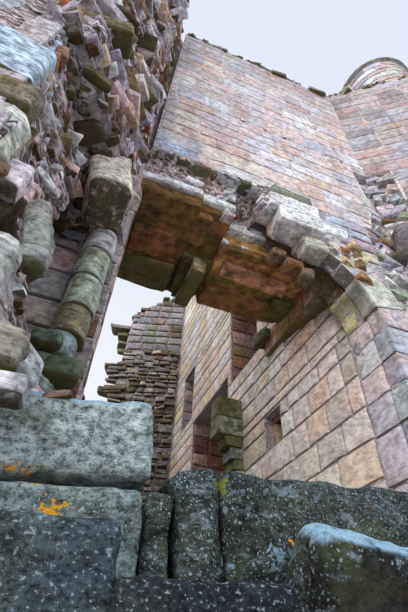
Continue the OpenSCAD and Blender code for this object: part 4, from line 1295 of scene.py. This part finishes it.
# %% Hearth pier and window frame
PIER_RIGHT = 2.41
stones, words = table("""
    1.99  4.33  4.655 olive
    1.985 4.045 4.325 green
    2.11  3.88  4.04  olive
    2.19  3.70  3.875 slate
    2.235 3.56  3.695 olive
    2.265 3.22  3.555 green
    2.265 2.86  3.215 olive
    2.265 2.43  2.855 slate
    2.265 1.95  2.425 olive
    2.265 1.45  1.945 green
    2.265 0.95  1.445 slate
    2.265 0.48  0.945 olive
    2.265 0.0   0.475 green""")
left, foot, head = stones.T
same = np.ones(len(stones))
block_piece("hearth_pier_stones", MOSSY, "mossy_stone",
            np.c_[(left + PIER_RIGHT) / 2, same * 5.195, (foot + head) / 2],
            np.c_[(PIER_RIGHT - left) / 2, same * 0.148, (head - foot) / 2],
            np.minimum(named(words, 264) * 1.7, 0.8), 0.9, 0.015, n=8, wear=0.01, seed=265,
            stands_for=["hearth_pier"])
set_stones("window_frame_stones", ASHLAR, "ashlar_buff", 266, """
    2.59 4.1825 3.585 0.072 0.2025 0.035 0.3 ochre
    2.59 4.1825 3.985 0.072 0.2025 0.035 0.3 tan
    2.59 4.0150 3.785 0.072 0.0350 0.163 0.3 rust
    2.59 4.3500 3.785 0.072 0.0350 0.163 0.3 ochre
    """, ["window_surround"], radius=0.008, n=7, wear=0.006)

# %% [markdown]
# ## Torn masonry
# Where the facing is torn off, the core shows: flat rubble in rough courses, set in lime mortar.
# Two helpers build it on whatever surface the probe meets. One lays a lumpy bed of mortar as a
# closed sheet; the other sets cut and tilted blocks in courses, half sunk in it.

# %% Rubble helpers
def reliefs(place, u, z, ahead, reach):
    """How far the CAD stands out from the wall's plane at each point, met from ahead metres
    out."""
    starts = place(u, z, np.full(np.shape(u), ahead))
    gap = probe(starts, -place.out, reach + ahead)
    return np.where(gap < reach + ahead - 1e-6, ahead - gap, np.nan)


def mortar_bed(heap, place, u0, u1, z0, z1, ahead, reach, step, lift, seed, tint, growth,
               rugged=0.02):
    """A closed sheet over the CAD: its front is the CAD's own relief, smoothed, lifted and given
    lumps; its back is the same grid 0.15 m further in."""
    nu, nv = max(3, int((u1 - u0) / step)), max(3, int((z1 - z0) / step))
    u, z = np.meshgrid(np.linspace(u0, u1, nu), np.linspace(z0, z1, nv))
    d = reliefs(place, u, z, ahead, reach)
    d = np.where(np.isnan(d), -reach, d)
    soft = d
    for _ in range(3):
        padded = np.pad(soft, 1, mode="edge")
        soft = (padded[:-2, 1:-1] + padded[2:, 1:-1] + padded[1:-1, :-2] + padded[1:-1, 2:]
                + 2 * soft) / 6
    front = place(u, z, np.maximum(soft, d) + lift * 0.5)
    front = front + place.out * (lift * 0.6 + rugged * (rough(front, 0.2, seed)
                                 + 0.6 * rough(front, 0.09, seed + 1)))[..., None]
    back = place(u, z, d - 0.15)
    quads, rim = face_grid(nu, nv)
    heap.add(np.concatenate([front.reshape(-1, 3), back.reshape(-1, 3)])[None],
             [quads, quads[:, ::-1] + nu * nv, side_quads(rim, rim + nu * nv)], tint, growth)


def rubble_on(heap, place, u0, u1, z0, z1, course, mean, seed, ahead, reach, mix, growth=0.4,
              spread=0.12, deep=0.14, stand=(-0.03, 0.05), tilt=0.09, n=3, skip=0.0,
              slim=(0.7, 1.0), wear=0.008):
    """Rough courses of blocks on the CAD's relief: each block's middle is probed, and it stands
    out from there by a random amount between the two values of stand."""
    lines = level_lines(z0, z1, course, seed, spread)
    rng = np.random.default_rng(seed + 1)
    spots = []
    for low, high in zip(lines[:-1], lines[1:]):
        number = max(1, round((u1 - u0) / mean))
        cuts_u = np.linspace(u0, u1, number + 1)
        cuts_u[1:-1] += rng.uniform(-0.35, 0.35, number - 1) * mean
        spots += [((a + b) / 2, (low + high) / 2, (b - a) / 2, (high - low) / 2)
                  for a, b in zip(cuts_u, cuts_u[1:])]
    spots = np.array(spots)
    spots = spots[rng.random(len(spots)) >= skip]
    d = reliefs(place, spots[:, 0], spots[:, 1], ahead, reach)
    spots, d = spots[~np.isnan(d)], d[~np.isnan(d)]
    number = len(spots)
    d = d + rng.uniform(*stand, number) - deep
    halves = np.c_[spots[:, 2] * rng.uniform(0.7, 1.1, number), np.full(number, deep),
                   spots[:, 3] * rng.uniform(*slim, number)]
    spin = rng.normal(0, tilt, (number, 3)) * (0.6, 1.0, 1.6)
    blocks(heap, place(spots[:, 0], spots[:, 1], d), np.maximum(halves, 0.016),
           np.minimum(1.25 * tints(mix, number, rng, 0.07), 0.9), growth, 0.007,
           turned(place.along, place.out, spin), n=n, wear=wear, lump=0.09, cuts=5,
           cut_depth=0.35, seed=seed + 8)


def ceiling(origin, heading, height):
    """Like a flat wall, but it hangs: u runs along the heading, z to the left of it, d down."""
    along = level(heading)
    return plane((*origin, height), along, np.array([-along[1], along[0], 0]), -UP)


# Two looks of mortar: the left pier's bed, and the strip over the lintels, where it is cracked.
# In both, the dark crevices round the shards are painted shadow.
BED, STRIP = (
    stone_finish(name, clouds=0.3, mottle=mottle, mottle_scale=24, drift=0.3, bump=1.0, depth=0.02,
                 grain=0.4, moss=moss, under=under, scabs=0.5, rims=0.0, runs=0.0, bedding=0.0,
                 shards=shards, crevice_shade=crevice_shade)
    for name, mottle, moss, under, shards, crevice_shade in (("bare_mortar", 0.6, 0.3, 0.3, 9, 0.75),
                                                      ("core_strip", 0.5, 0.1, 0.2, 15, 0.35)))
print("mortar looks", BED.name, STRIP.name)

# %% [markdown]
# ## The core over the lintels and the torn corner
# Small stones in pale pink mortar fill the strip between the facing and the lintels. In the corner
# beside the canted wall the facing is gone from three metres up to seven, and thin white, blue and
# green slabs step out of the hole.

# %% Core and corner rubble
core_bed = Heap()
mortar_bed(core_bed, gate_face, -0.02, 1.7, 5.43, 5.80, 0.1, 0.9, 0.03, 0.015, 300,
           linear((0.88, 0.79, 0.78)), 0.1)
core_bed.piece("core_mortar", STRIP, "rubble_core")
core = Heap()
rubble_on(core, gate_face, 0, 1.62, 5.44, 5.78, 0.05, 0.085, 301, 0.1, 0.9,
          "pink 5 lilac 3 white 4 brown 1 rust 1 grey 2 peach 2", 0.0, deep=0.05,
          stand=(0.0, 0.045), tilt=0.4, skip=0.15, wear=0.006)
rubble_on(core, gate_face, 0.3, 1.5, 5.50, 5.78, 0.14, 0.2, 305, 0.1, 0.9,
          "pink 3 white 3 brown 2 lilac 2", 0.1, deep=0.08, stand=(0.02, 0.08), tilt=0.4, skip=0.6)
rubble_on(core, gate_face, 1.6, 2.62, 4.55, 5.2, 0.11, 0.17, 303, 0.1, 0.6,
          "tan 3 cream 2 ochre 2 pink 2 brown 1", 0.3, deep=0.08, stand=(0.02, 0.09), tilt=0.25)
rubble_on(core, gate_face, 0.95, 1.45, 5.12, 5.8, 0.07, 0.12, 307, 0.1, 0.9,
          "white 3 grey 2 cream 2 pink 4 lilac 3 olive 1", 0.3, deep=0.07, stand=(0.01, 0.06),
          tilt=0.25, skip=0.2)
core.piece("core_rubble", SHELTERED, "rubble_core")

corner = Heap()
for face, u0, u1, z0, z1, course, mean, seed, growth, stand, tilt in (
        (gate_face, 2.86, 3.36, 3.3, 7.3, 0.12, 0.24, 310, 0.4, (0.02, 0.13), 0.1),
        (canted_face, 0.0, 0.42, 3.1, 7.42, 0.12, 0.22, 312, 0.8, (0.02, 0.16), 0.1),
        (canted_face, 0.42, 1.52, 3.1, 6.58, 0.15, 0.3, 314, 0.4, (0.04, 0.14), 0.08)):
    rubble_on(corner, face, u0, u1, z0, z1, course, mean, seed, -0.05, 0.2,
              "lilac 3 grey 3 green 2 olive 1 brown 1 white 5 pink 2 blue 3", growth, spread=0.3,
              stand=stand, tilt=tilt)
# One boulder is far bigger than its neighbours.
boulder = canted_face(np.array([0.16]), np.array([5.6]), np.array([-0.02]))
blocks(corner, boulder, (0.2, 0.17, 0.3), linear((0.42, 0.38, 0.40)), 0.5, radius=0.12,
       axes=turned(canted_face.along, canted_face.out, np.array([[0.1, 0.25, 0.05]])), n=10,
       wear=0.03, lump=0.3, cuts=2, seed=317)
corner.piece("torn_corner_rubble", SHELTERED, "rubble_core")

# %% [markdown]
# ## Broken ends
# The side walls step down to the back, and the back wall ends in the air. No photograph shows
# their ends, so they get what such an end has: rough core stones, in one course above another, on
# whatever face the probe meets.

# %% Rubble on the broken ends
BACK_END = (ROOM_X - 3.0 * COS_SKEW + 1.2 * SIN_SKEW, BACK_Y + 3.0 * SIN_SKEW + 1.2 * COS_SKEW)
ends = Heap()
for x, y, heading, length, z0, z1, reach, seed in (
        (LEFT_X + 1.6, 12.3, 180, 1.6, 3.6, 9.4, 8.6, 380),
        (*BACK_END, -90 - SKEW, 1.2, 4.1, 10.7, 3.2, 382),
        (-4.2, 2.4, -90, 1.5, 9.2, 10.95, 2.4, 384),
        (-0.35, 0.86, 75, 1.4, 0.02, 2.15, 0.5, 386)):
    rubble_on(ends, flat_wall((x, y), heading), 0.02, length - 0.02, z0, z1, 0.14, 0.28, seed,
              0.1, reach, "mauve 4 grey 4 pink 2 lilac 2 brown 1 olive 2 white 1", 0.5,
              spread=0.3, deep=0.1, stand=(0.0, 0.06), tilt=0.1, slim=(0.75, 1.0))
ends.piece("broken_end_rubble", SHELTERED, "rubble_core")

# %% [markdown]
# ## The torn left pier
# The pier's right side was ripped away with the gate's front. Its core hangs over the viewer in
# slanting layers. Beds of mortar and courses of rubble cover the CAD's bands and the level
# underside between them.

# %% Left pier core
torn_face = flat_wall((-0.75, 0.88), 64)
inner_face = flat_wall((-0.55, 0.86), 88)
overhang = ceiling((-0.64, 0.88), 68, 4.2)
mortar = linear((0.76, 0.70, 0.71))
beds = Heap()
mortar_bed(beds, torn_face, -0.1, 1.44, 4.16, 10.6, 0.35, 0.9, 0.035, 0.02, 320, mortar, 0.1,
           rugged=0.03)
mortar_bed(beds, inner_face, 0.0, 1.3, 2.2, 4.18, 0.35, 0.5, 0.035, 0.015, 321, mortar, 0.1)
mortar_bed(beds, overhang, 0.02, 1.5, 0.02, 0.45, 0.1, 0.3, 0.05, 0.015, 322, mortar, 0.1)
beds.piece("left_pier_mortar", BED, "rubble_core")
pier_core = Heap()
for face, u0, u1, z0, z1, course, mean, seed, ahead, reach, growth, how in (
        (torn_face, -0.05, 1.42, 4.2, 6.6, 0.075, 0.17, 323, 0.35, 0.9, 0.2,
         dict(deep=0.09, stand=(0.01, 0.1), tilt=0.25, skip=0.05, slim=(0.45, 0.95))),
        (torn_face, -0.05, 1.42, 4.3, 6.8, 0.13, 0.28, 325, 0.35, 0.9, 0.6,
         dict(deep=0.12, stand=(0.07, 0.17), tilt=0.25, skip=0.62, n=5, slim=(0.45, 0.8))),
        (torn_face, -0.05, 1.44, 6.6, 10.6, 0.1, 0.23, 327, 0.35, 0.9, 0.35,
         dict(stand=(0.01, 0.16), tilt=0.2, skip=0.04, slim=(0.45, 0.9))),
        (inner_face, 0.05, 1.25, 2.45, 4.15, 0.075, 0.17, 329, 0.6, 0.4, 0.2,
         dict(deep=0.08, stand=(0.0, 0.07), tilt=0.25, skip=0.12, slim=(0.45, 0.9))),
        (overhang, 0.05, 1.5, 0.02, 0.45, 0.08, 0.14, 331, 0.1, 0.3, 0.2,
         dict(deep=0.06, stand=(0.01, 0.07), tilt=0.35, skip=0.1))):
    rubble_on(pier_core, face, u0, u1, z0, z1, course, mean, seed, ahead, reach,
              "mauve 3 grey 3 pink 4 brown 3 rust 1 peach 2 lilac 3 olive 2 white 3 dark 1",
              growth, spread=0.35, **how)
pier_core.piece("left_pier_core", SHELTERED, "rubble_core")

# %% [markdown]
# The stones that catch the eye are set one by one. The large ones are given in site coordinates.
# Of the small ones only the place in the picture and the size there are written down: the line of
# sight through that point finds the pier, and its distance turns picture size into real size.

# %% Left pier stones set one by one
# x, y, z of the middle, half sizes (along, into, up), radius, growth, tilts in degrees, tint
big, words = table("""
    -1.14 0.98 4.72 0.43 0.11 0.300 0.025 0.0 0 0 6 steel
    -1.10 0.95 4.08 0.43 0.10 0.320 0.025 0.5 0 0 10 steel
    -1.04 0.95 3.51 0.43 0.12 0.220 0.025 0.6 0 0 6 steel
    -0.62 0.93 3.155 0.090 0.06 0.110 0.02 0.8 0 0 0 dark
    -1.09 0.95 3.13 0.43 0.08 0.100 0.03 0.4 0 0 0 snow
    -0.945 0.97 2.88 0.44 0.09 0.190 0.085 0.9 4 3 0 cream
    -0.70 1.06 2.81 0.26 0.05 0.090 0.02 0.0 0 8 4 pink
    -0.72 1.26 2.74 0.25 0.15 0.110 0.03 0.3 0 8 4 bark
    -0.62 1.42 3.03 0.13 0.15 0.100 0.03 0.0 0 10 6 pink
    -0.335 1.16 2.60 0.060 0.06 0.200 0.055 1.3 0 -14 0 grey
    -0.70 1.02 2.15 0.39 0.08 0.200 0.05 1.0 0 3 0 white
    -0.59 0.99 1.95 0.43 0.06 0.065 0.035 1.3 10 2 0 mauve
    -0.615 1.66 3.56 0.09 0.10 0.200 0.02 0.2 0 10 5 white
    -0.255 1.84 4.150 0.155 0.22 0.290 0.055 0.3 0 -14 3 cream""")
big_stones = Heap()
blocks(big_stones, big[:, :3], big[:, 3:6], np.minimum(1.3 * named(words, 333), 0.9), big[:, 7],
       big[:, 6], turned((1.0, 0, 0), (0, -1.0, 0), np.radians(big[:, 8:])), n=14, wear=0.016,
       lump=0.16, cuts=3, cut_depth=0.08, seed=334, bedded=2.0)
blocks(big_stones, (-0.56, 0.94, 1.803), (0.44, 0.04, 0.03), named("frost", 338), 0.3, 0.015,
       n=14, wear=0.01, lump=0.08, seed=338)
big_stones.piece("left_pier_big_stones", RUBBLE, "rubble_core")

# Place in the picture, width and height there in pixels, roll in degrees, growth, tint.
small, words = table("""
    88 131 32 30 12 0.2 bark; 112 139 13 13 20 0.2 brown; 46 151 15 14 10 0.1 brown
    26 161 20 14 5 0.2 rose; 31 146 10 30 14 0.3 brown; 44 134 12 15 0 0.7 green
    49 108 18 15 20 0.3 green; 66 166 25 14 -35 0.1 rose; 98 79 30 15 -38 0.5 olive
    78 84 28 8 -30 0.8 green; 66 90 18 18 -20 0.9 olive; 105 20 46 12 -24 0.8 olive
    112 8 40 12 -20 0.6 dark; 94 28 12 11 15 0.2 white; 116 53 26 18 -20 0.9 slate
    92 48 12 20 15 0.1 rust; 108 68 20 12 -40 0.1 rust; 68 62 10 26 25 0.3 mauve
    104 38 14 12 -10 0.0 peach; 124 116 16 9 -40 0.1 pink; 122 140 9 9 30 0.0 lilac
    126 131 12 12 0 0.2 bark; 128 156 11 22 -8 0.5 olive; 129 182 12 26 -12 0.9 olive
    96 154 8 8 0 0.0 rust; 106 154 12 8 10 0.1 brown; 26 178 13 9 0 0.0 rust
    82 154 12 9 20 0.0 pink; 74 34 16 20 10 0.3 bark; 133 20 10 30 20 0.0 pink
    143 40 9 26 12 0.0 lilac; 137 66 9 30 15 0.1 brown; 126 84 10 24 25 0.1 brown
    158 25 16 12 -30 0.0 pink; 152 12 10 16 20 0.0 rose; 146 112 12 18 10 0.1 rust
    112 97 14 7 -35 0.0 pink; 118 104 12 7 -35 0.3 green; 103 104 13 7 -35 0.0 white
    57 218 16 24 -15 0.2 bark; 78 226 16 9 10 0.0 rose; 70 238 20 12 -20 0.2 slate
    15 268 12 14 0 0.1 rose; 18 290 12 16 10 0.1 white; 17 310 12 12 0 0.2 brown
    165 56 18 20 10 1.2 olive; 159 78 16 25 -8 0.6 bark; 148 97 13 22 -12 0.4 bark
    60 372 42 38 -12 1.1 moss; 46 341 32 28 -4 0.2 moss; 56 397 34 14 10 0.3 brown
    80 397 10 10 0 0.2 slate; 16 262 12 16 0 0.1 rust; 20 282 10 18 10 0.1 pink
    16 302 12 14 0 0.2 brown""")
rays = np.array([sight(px, py) for px, py in small[:, :2]])
far = probe(np.broadcast_to(EYE, rays.shape), rays, 9.0)
wide, high = small[:, 2:4].T * far * (rays @ EYE_FORWARD) / FOCAL_PX
roll = np.radians(small[:, 4])[:, None]
across = np.cos(roll) * EYE_RIGHT - np.sin(roll) * EYE_DOWN
across -= (across * rays).sum(1, keepdims=True) * rays
across /= np.linalg.norm(across, axis=1, keepdims=True)
# The line of sight climbs steeply. Turned up by 38 degrees more, the stones lie nearly level, and
# show both their underside and their face.
lean = math.radians(38)
into = math.cos(lean) * rays + math.sin(lean) * np.cross(across, rays)
halves = np.c_[wide * 0.5, high * 0.42, high * 0.34]
# The widest of them are worn round, and the others keep their edges.
radius = halves.min(1) * np.where(small[:, 2] > 27, 0.75, 0.25)
block_piece("left_pier_small_stones", RUBBLE, "rubble_core",
            EYE + rays * (far - 0.3 * halves[:, 1])[:, None], halves, named(words, 335),
            small[:, 5], radius, np.stack([across, into, np.cross(across, into)], 1), n=6,
            wear=0.008, lump=0.1, cuts=4, cut_depth=0.25, seed=336, bedded=2.0)
slab_piece("pier_ledge", "pier_ledge_stone", "dark_block", "bark", 0.2, 337, 12, radius=0.02)

# %% [markdown]
# ## The jamb shaft
# Six drums are left of the shaft that carried the arch's left end. Their plan is round in front
# and square behind, so the rounded box is squeezed into a half disc by the usual square-to-disc
# map, on its front half only.

# %% Shaft drums
SHAFT_R, SHAFT_X, SHAFT_Y, SHAFT_FOOT = 0.122, -0.19, 2.29, 2.5
heights, slips = np.array([
    # height of each drum, and how far it has slipped to the right
    (0.26, -0.075), (0.19, -0.035), (0.24, 0.0), (0.31, 0.008), (0.31, 0.0), (0.27, 0.008)]).T
feet = SHAFT_FOOT + np.cumsum(heights) - heights
halves = np.c_[np.full((6, 2), SHAFT_R), heights / 2 - 0.004]
shape, push, quads, rim = block_shapes(halves, np.full(6, 0.022), 12, 340)
a, b = shape[..., 0] / SHAFT_R, np.minimum(shape[..., 1] / SHAFT_R, 0)
x = SHAFT_R * a * np.sqrt(1 - b ** 2 / 2)
y = np.where(shape[..., 1] < 0, SHAFT_R * b * np.sqrt(1 - a ** 2 / 2), shape[..., 1])
drum = np.stack([x + SHAFT_X + slips[:, None], y + SHAFT_Y,
                 shape[..., 2] + (feet + heights / 2)[:, None]], -1)
drum += push * (0.006 * rough(drum, 0.1, 341))[..., None]
shaft = Heap()
shaft.add(drum, [quads], np.minimum(named("slate slate olive green green pink", 342) * 1.7, 0.8),
          [0.9, 0.8, 0.7, 0.5, 0.6, 0.1], rim)
shaft.piece("jamb_shaft_drums", MOSSY, "mossy_stone", ["jamb_shaft"])

# %% [markdown]
# ## The low wall and the step in front
# Close to the eye lie big weathered blocks, dark and covered with lichen. Each is one fine
# rounded box. The low wall's visible top course is placed block by block; under it the same wall
# goes down to the ground in courses.

# %% Foreground blocks
front = np.array([
    # x from, x to, y from, y to, z from, z to, radius, growth, two tilts in degrees, colour
    (-0.68, 0.243, 1.09, 1.56, 1.655, 1.885, 0.03, 0.35, 0, -8, 0.65, 0.70, 0.69),
    (-0.68, 0.232, 1.05, 1.56, 1.40, 1.64, 0.025, 0.3, 0, -5, 0.50, 0.55, 0.53),
    (0.242, 0.325, 1.12, 1.56, 1.36, 1.70, 0.015, 0.6, 0, 0, 0.24, 0.27, 0.23),
    (0.333, 0.455, 1.10, 1.56, 1.36, 1.775, 0.022, 0.3, 0, -6, 0.18, 0.22, 0.22),
    (0.462, 1.36, 1.09, 1.56, 1.36, 1.825, 0.03, 0.2, 0, -5, 0.17, 0.205, 0.205),
    # The step in front of it.
    (-0.90, 0.128, 0.742, 1.11, 1.15, 1.50, 0.022, 0.05, 0, -1, 0.19, 0.24, 0.27),
    (0.135, 0.475, 0.745, 1.11, 1.14, 1.44, 0.022, 0.05, 0, -5, 0.12, 0.14, 0.17),
    (0.53, 1.292, 0.819, 1.019, 1.199, 1.579, 0.04, 0.2, 28, 5, 0.13, 0.13, 0.12),
    (0.485, 1.285, 0.92, 1.11, 1.15, 1.48, 0.03, 0.2, 0, 0, 0.13, 0.13, 0.12),
])
SKY_HIGHLIT_ROWS = [0, 7]  # the two blocks whose tops carry the painted sky highlight
turns = np.zeros((len(front), 3))
turns[:, :2] = np.radians(front[:, 8:10])
sky_highlit = np.isin(np.arange(len(front)), SKY_HIGHLIT_ROWS)
low_blocks, sky_highlit_blocks = Heap(), Heap()
for heap, own in ((low_blocks, ~sky_highlit), (sky_highlit_blocks, sky_highlit)):
    low, high = front[own, 0:6:2], front[own, 1:6:2]
    blocks(heap, (low + high) / 2, (high - low) / 2, linear(front[own, 10:]), front[own, 7],
           front[own, 6], turned((1.0, 0, 0), (0, -1.0, 0), turns[own]), n=34, wear=0.013,
           lump=0.1, seed=351)
sky_highlit_blocks.piece("pale_topped_blocks", SKY_HIGHLIT, "dark_block")
rng = np.random.default_rng(352)
# Below them, and along the part of the wall that the picture doesn't show, level courses. The last
# of the three walls is broken off: from z = 1.4 up its courses get shorter.
for x0, foot, top, y0, y1, lines, length in (
        # x from, x to at the foot and at the top, y from, y to, courses, length of a block
        (-0.68, 1.36, 1.36, 1.1, 1.55, level_lines(0, 1.38, 0.34, 353), 0.5),
        (-0.90, 1.29, 1.29, 0.75, 1.1, level_lines(0, 1.15, 0.38, 354), 0.55),
        (1.37, 4.74, 1.75, 1.1, 1.55, level_lines(0, 1.80, 0.30, 355), 0.5)):
    for low, high in zip(lines, lines[1:]):
        x1 = foot + (top - foot) * np.clip((high - 1.4) / 0.4, 0, 1)
        number = max(1, round((x1 - x0) / length))
        cuts_x = np.linspace(x0, x1, number + 1)
        cuts_x[1:-1] += rng.uniform(-0.12, 0.12, number - 1)
        a, b = cuts_x[:-1], cuts_x[1:]
        same = np.ones(number)
        blocks(low_blocks, np.c_[(a + b) / 2, same * (y0 + y1) / 2, same * (low + high) / 2],
               np.c_[(b - a) / 2 - 0.004, same * ((y1 - y0) / 2 + 0.012),
                     same * ((high - low) / 2 - 0.004)],
               linear(rng.uniform(0.30, 0.46, (number, 1)) * (0.97, 1.05, 1.03)), 0.3, 0.03, n=7,
               wear=0.01, seed=356)
low_blocks.piece("low_wall_blocks", DARK, "dark_block",
                 ["low_wall_left", "low_wall_middle", "low_wall_right", "front_step"])

# %% [markdown]
# ## Broken wall heads
# The walls end in loose, weathered rubble. A jittered grid of points over the plan is probed from
# above; wherever a ray meets a wall's top, a flat stone is bedded there.

# %% Wall heads
# The rays start over the whole keep. What they meet above the wall heads is the cap-house, and
# what they meet low down has its stones already.
ABOVE, HEAD_Z, LOW_Z = 13.9, 10.99, 2.6
rng = np.random.default_rng(370)
gx, gy = np.meshgrid(np.arange(-3.55, 6.4, 0.33), np.arange(0.7, 12.0, 0.33))
gx, gy = (g.ravel() + rng.uniform(-0.08, 0.08, g.size) for g in (gx, gy))
head_z = ABOVE - probe(np.c_[gx, gy, np.full(gx.size, ABOVE)], -UP, 13.8)
good = (head_z > LOW_Z) & (head_z < HEAD_Z)
gx, gy, head_z = gx[good], gy[good], head_z[good]
number = len(gx)
heads = Heap()
blocks(heads, np.c_[gx, gy, head_z + rng.uniform(-0.045, 0.0, number)],
       rng.uniform((0.1, 0.1, 0.05), (0.2, 0.18, 0.1), (number, 3)),
       tints("grey 3 mauve 3 olive 2 green 1 brown 1 pink 1", number, rng), 0.8, radius=0.03,
       tilt=0.15, n=3, wear=0.012, cuts=3, seed=371)
# Smaller stones along the front edges of the two faces that the picture shows best.
for place, end in ((gate_face, 3.3), (canted_face, 1.8)):
    u = np.arange(0.02, end, 0.13)
    spot = u + rng.uniform(-0.04, 0.04, len(u))
    edge = place(spot, np.full(len(u), 11.3), np.full(len(u), -0.1))
    drop = probe(edge, -UP, 0.9)
    edge = (edge - UP * drop[:, None])[drop < 0.89]
    blocks(heads, edge + UP * 0.01,
           rng.uniform((0.05, 0.1, 0.03), (0.11, 0.14, 0.09), (len(edge), 3)),
           tints("grey 3 olive 3 brown 2 mauve 2", len(edge), rng), 0.8, radius=0.015, tilt=0.2,
           n=3, wear=0.01, cuts=4, seed=372)
heads.piece("wall_head_rubble", RUBBLE, "rubble_core")
print("pieces", len(ADDED), "triangles added", sum(ADDED.values()))

# %% [markdown]
# ## Floor, light and air
# A plain pale floor, two very soft suns and an even pale sky. The key comes in low from the front
# left, under the broken arch; the fill comes over the left wall into the room. The sky that the
# camera sees is set apart from the light that it gives, so that the background stays clean.

# %% Stage and light
REACH = 60.0
floor_mesh = bpy.data.meshes.new("floor")
floor_mesh.from_pydata([(-REACH, -REACH, 0), (REACH, -REACH, 0), (REACH, REACH, 0),
                        (-REACH, REACH, 0)], [], [(0, 1, 2, 3)])
placed("floor", floor_mesh)
plain = Finish("pale_floor")
plain.shader.inputs["Base Color"].default_value = rgba((0.86, 0.86, 0.87))
plain.shader.inputs["Roughness"].default_value = 0.9
floor_mesh.materials.append(plain.material)

for name, energy, source in (("key", 1.3, (-0.62, -0.72, 0.30)),
                             ("fill", 1.2, (-0.55, 0.05, 0.83))):
    sun_data = bpy.data.lights.new(name, "SUN")
    sun_data.energy = energy
    sun_data.angle = math.radians(40)
    sun_data.color = (1.0, 0.98, 0.95)
    sun = placed(name, sun_data)
    sun.rotation_mode = "QUATERNION"
    sun.rotation_quaternion = (-Vector(source)).to_track_quat("-Z", "Y")
    print(name, "sun, strength", energy)

world = bpy.context.scene.world = bpy.data.worlds.new("pale_sky")
world.use_nodes = True
air = Nodes(world.node_tree)
camera_ray, glossy_ray, passing_ray = (air.node("LightPath", output=f"Is {kind} Ray")
                                       for kind in ("Camera", "Glossy", "Transmission"))
seen = air.math("MAXIMUM", air.math("MAXIMUM", camera_ray, glossy_ray), passing_ray)
height = air.node("SeparateXYZ", {}, {0: air.node("TexCoord", output="Generated")}, "Z")
climb = air.node("MapRange", {}, {"Value": height, "From Min": 0.35, "From Max": 0.85})
backdrop = air.mix(climb, rgba((0.985, 0.985, 0.99)), rgba((0.895, 0.925, 0.988)))
shown = air.node("MixShader", {}, {
    0: seen, 1: air.node("Background", {}, {"Color": rgba((0.90, 0.94, 1.0))}),
    2: air.node("Background", {}, {"Color": backdrop})})
air.tree.links.new(shown.socket, air.tree.nodes["World Output"].inputs["Surface"])
bpy.context.scene.view_settings.view_transform = "Standard"
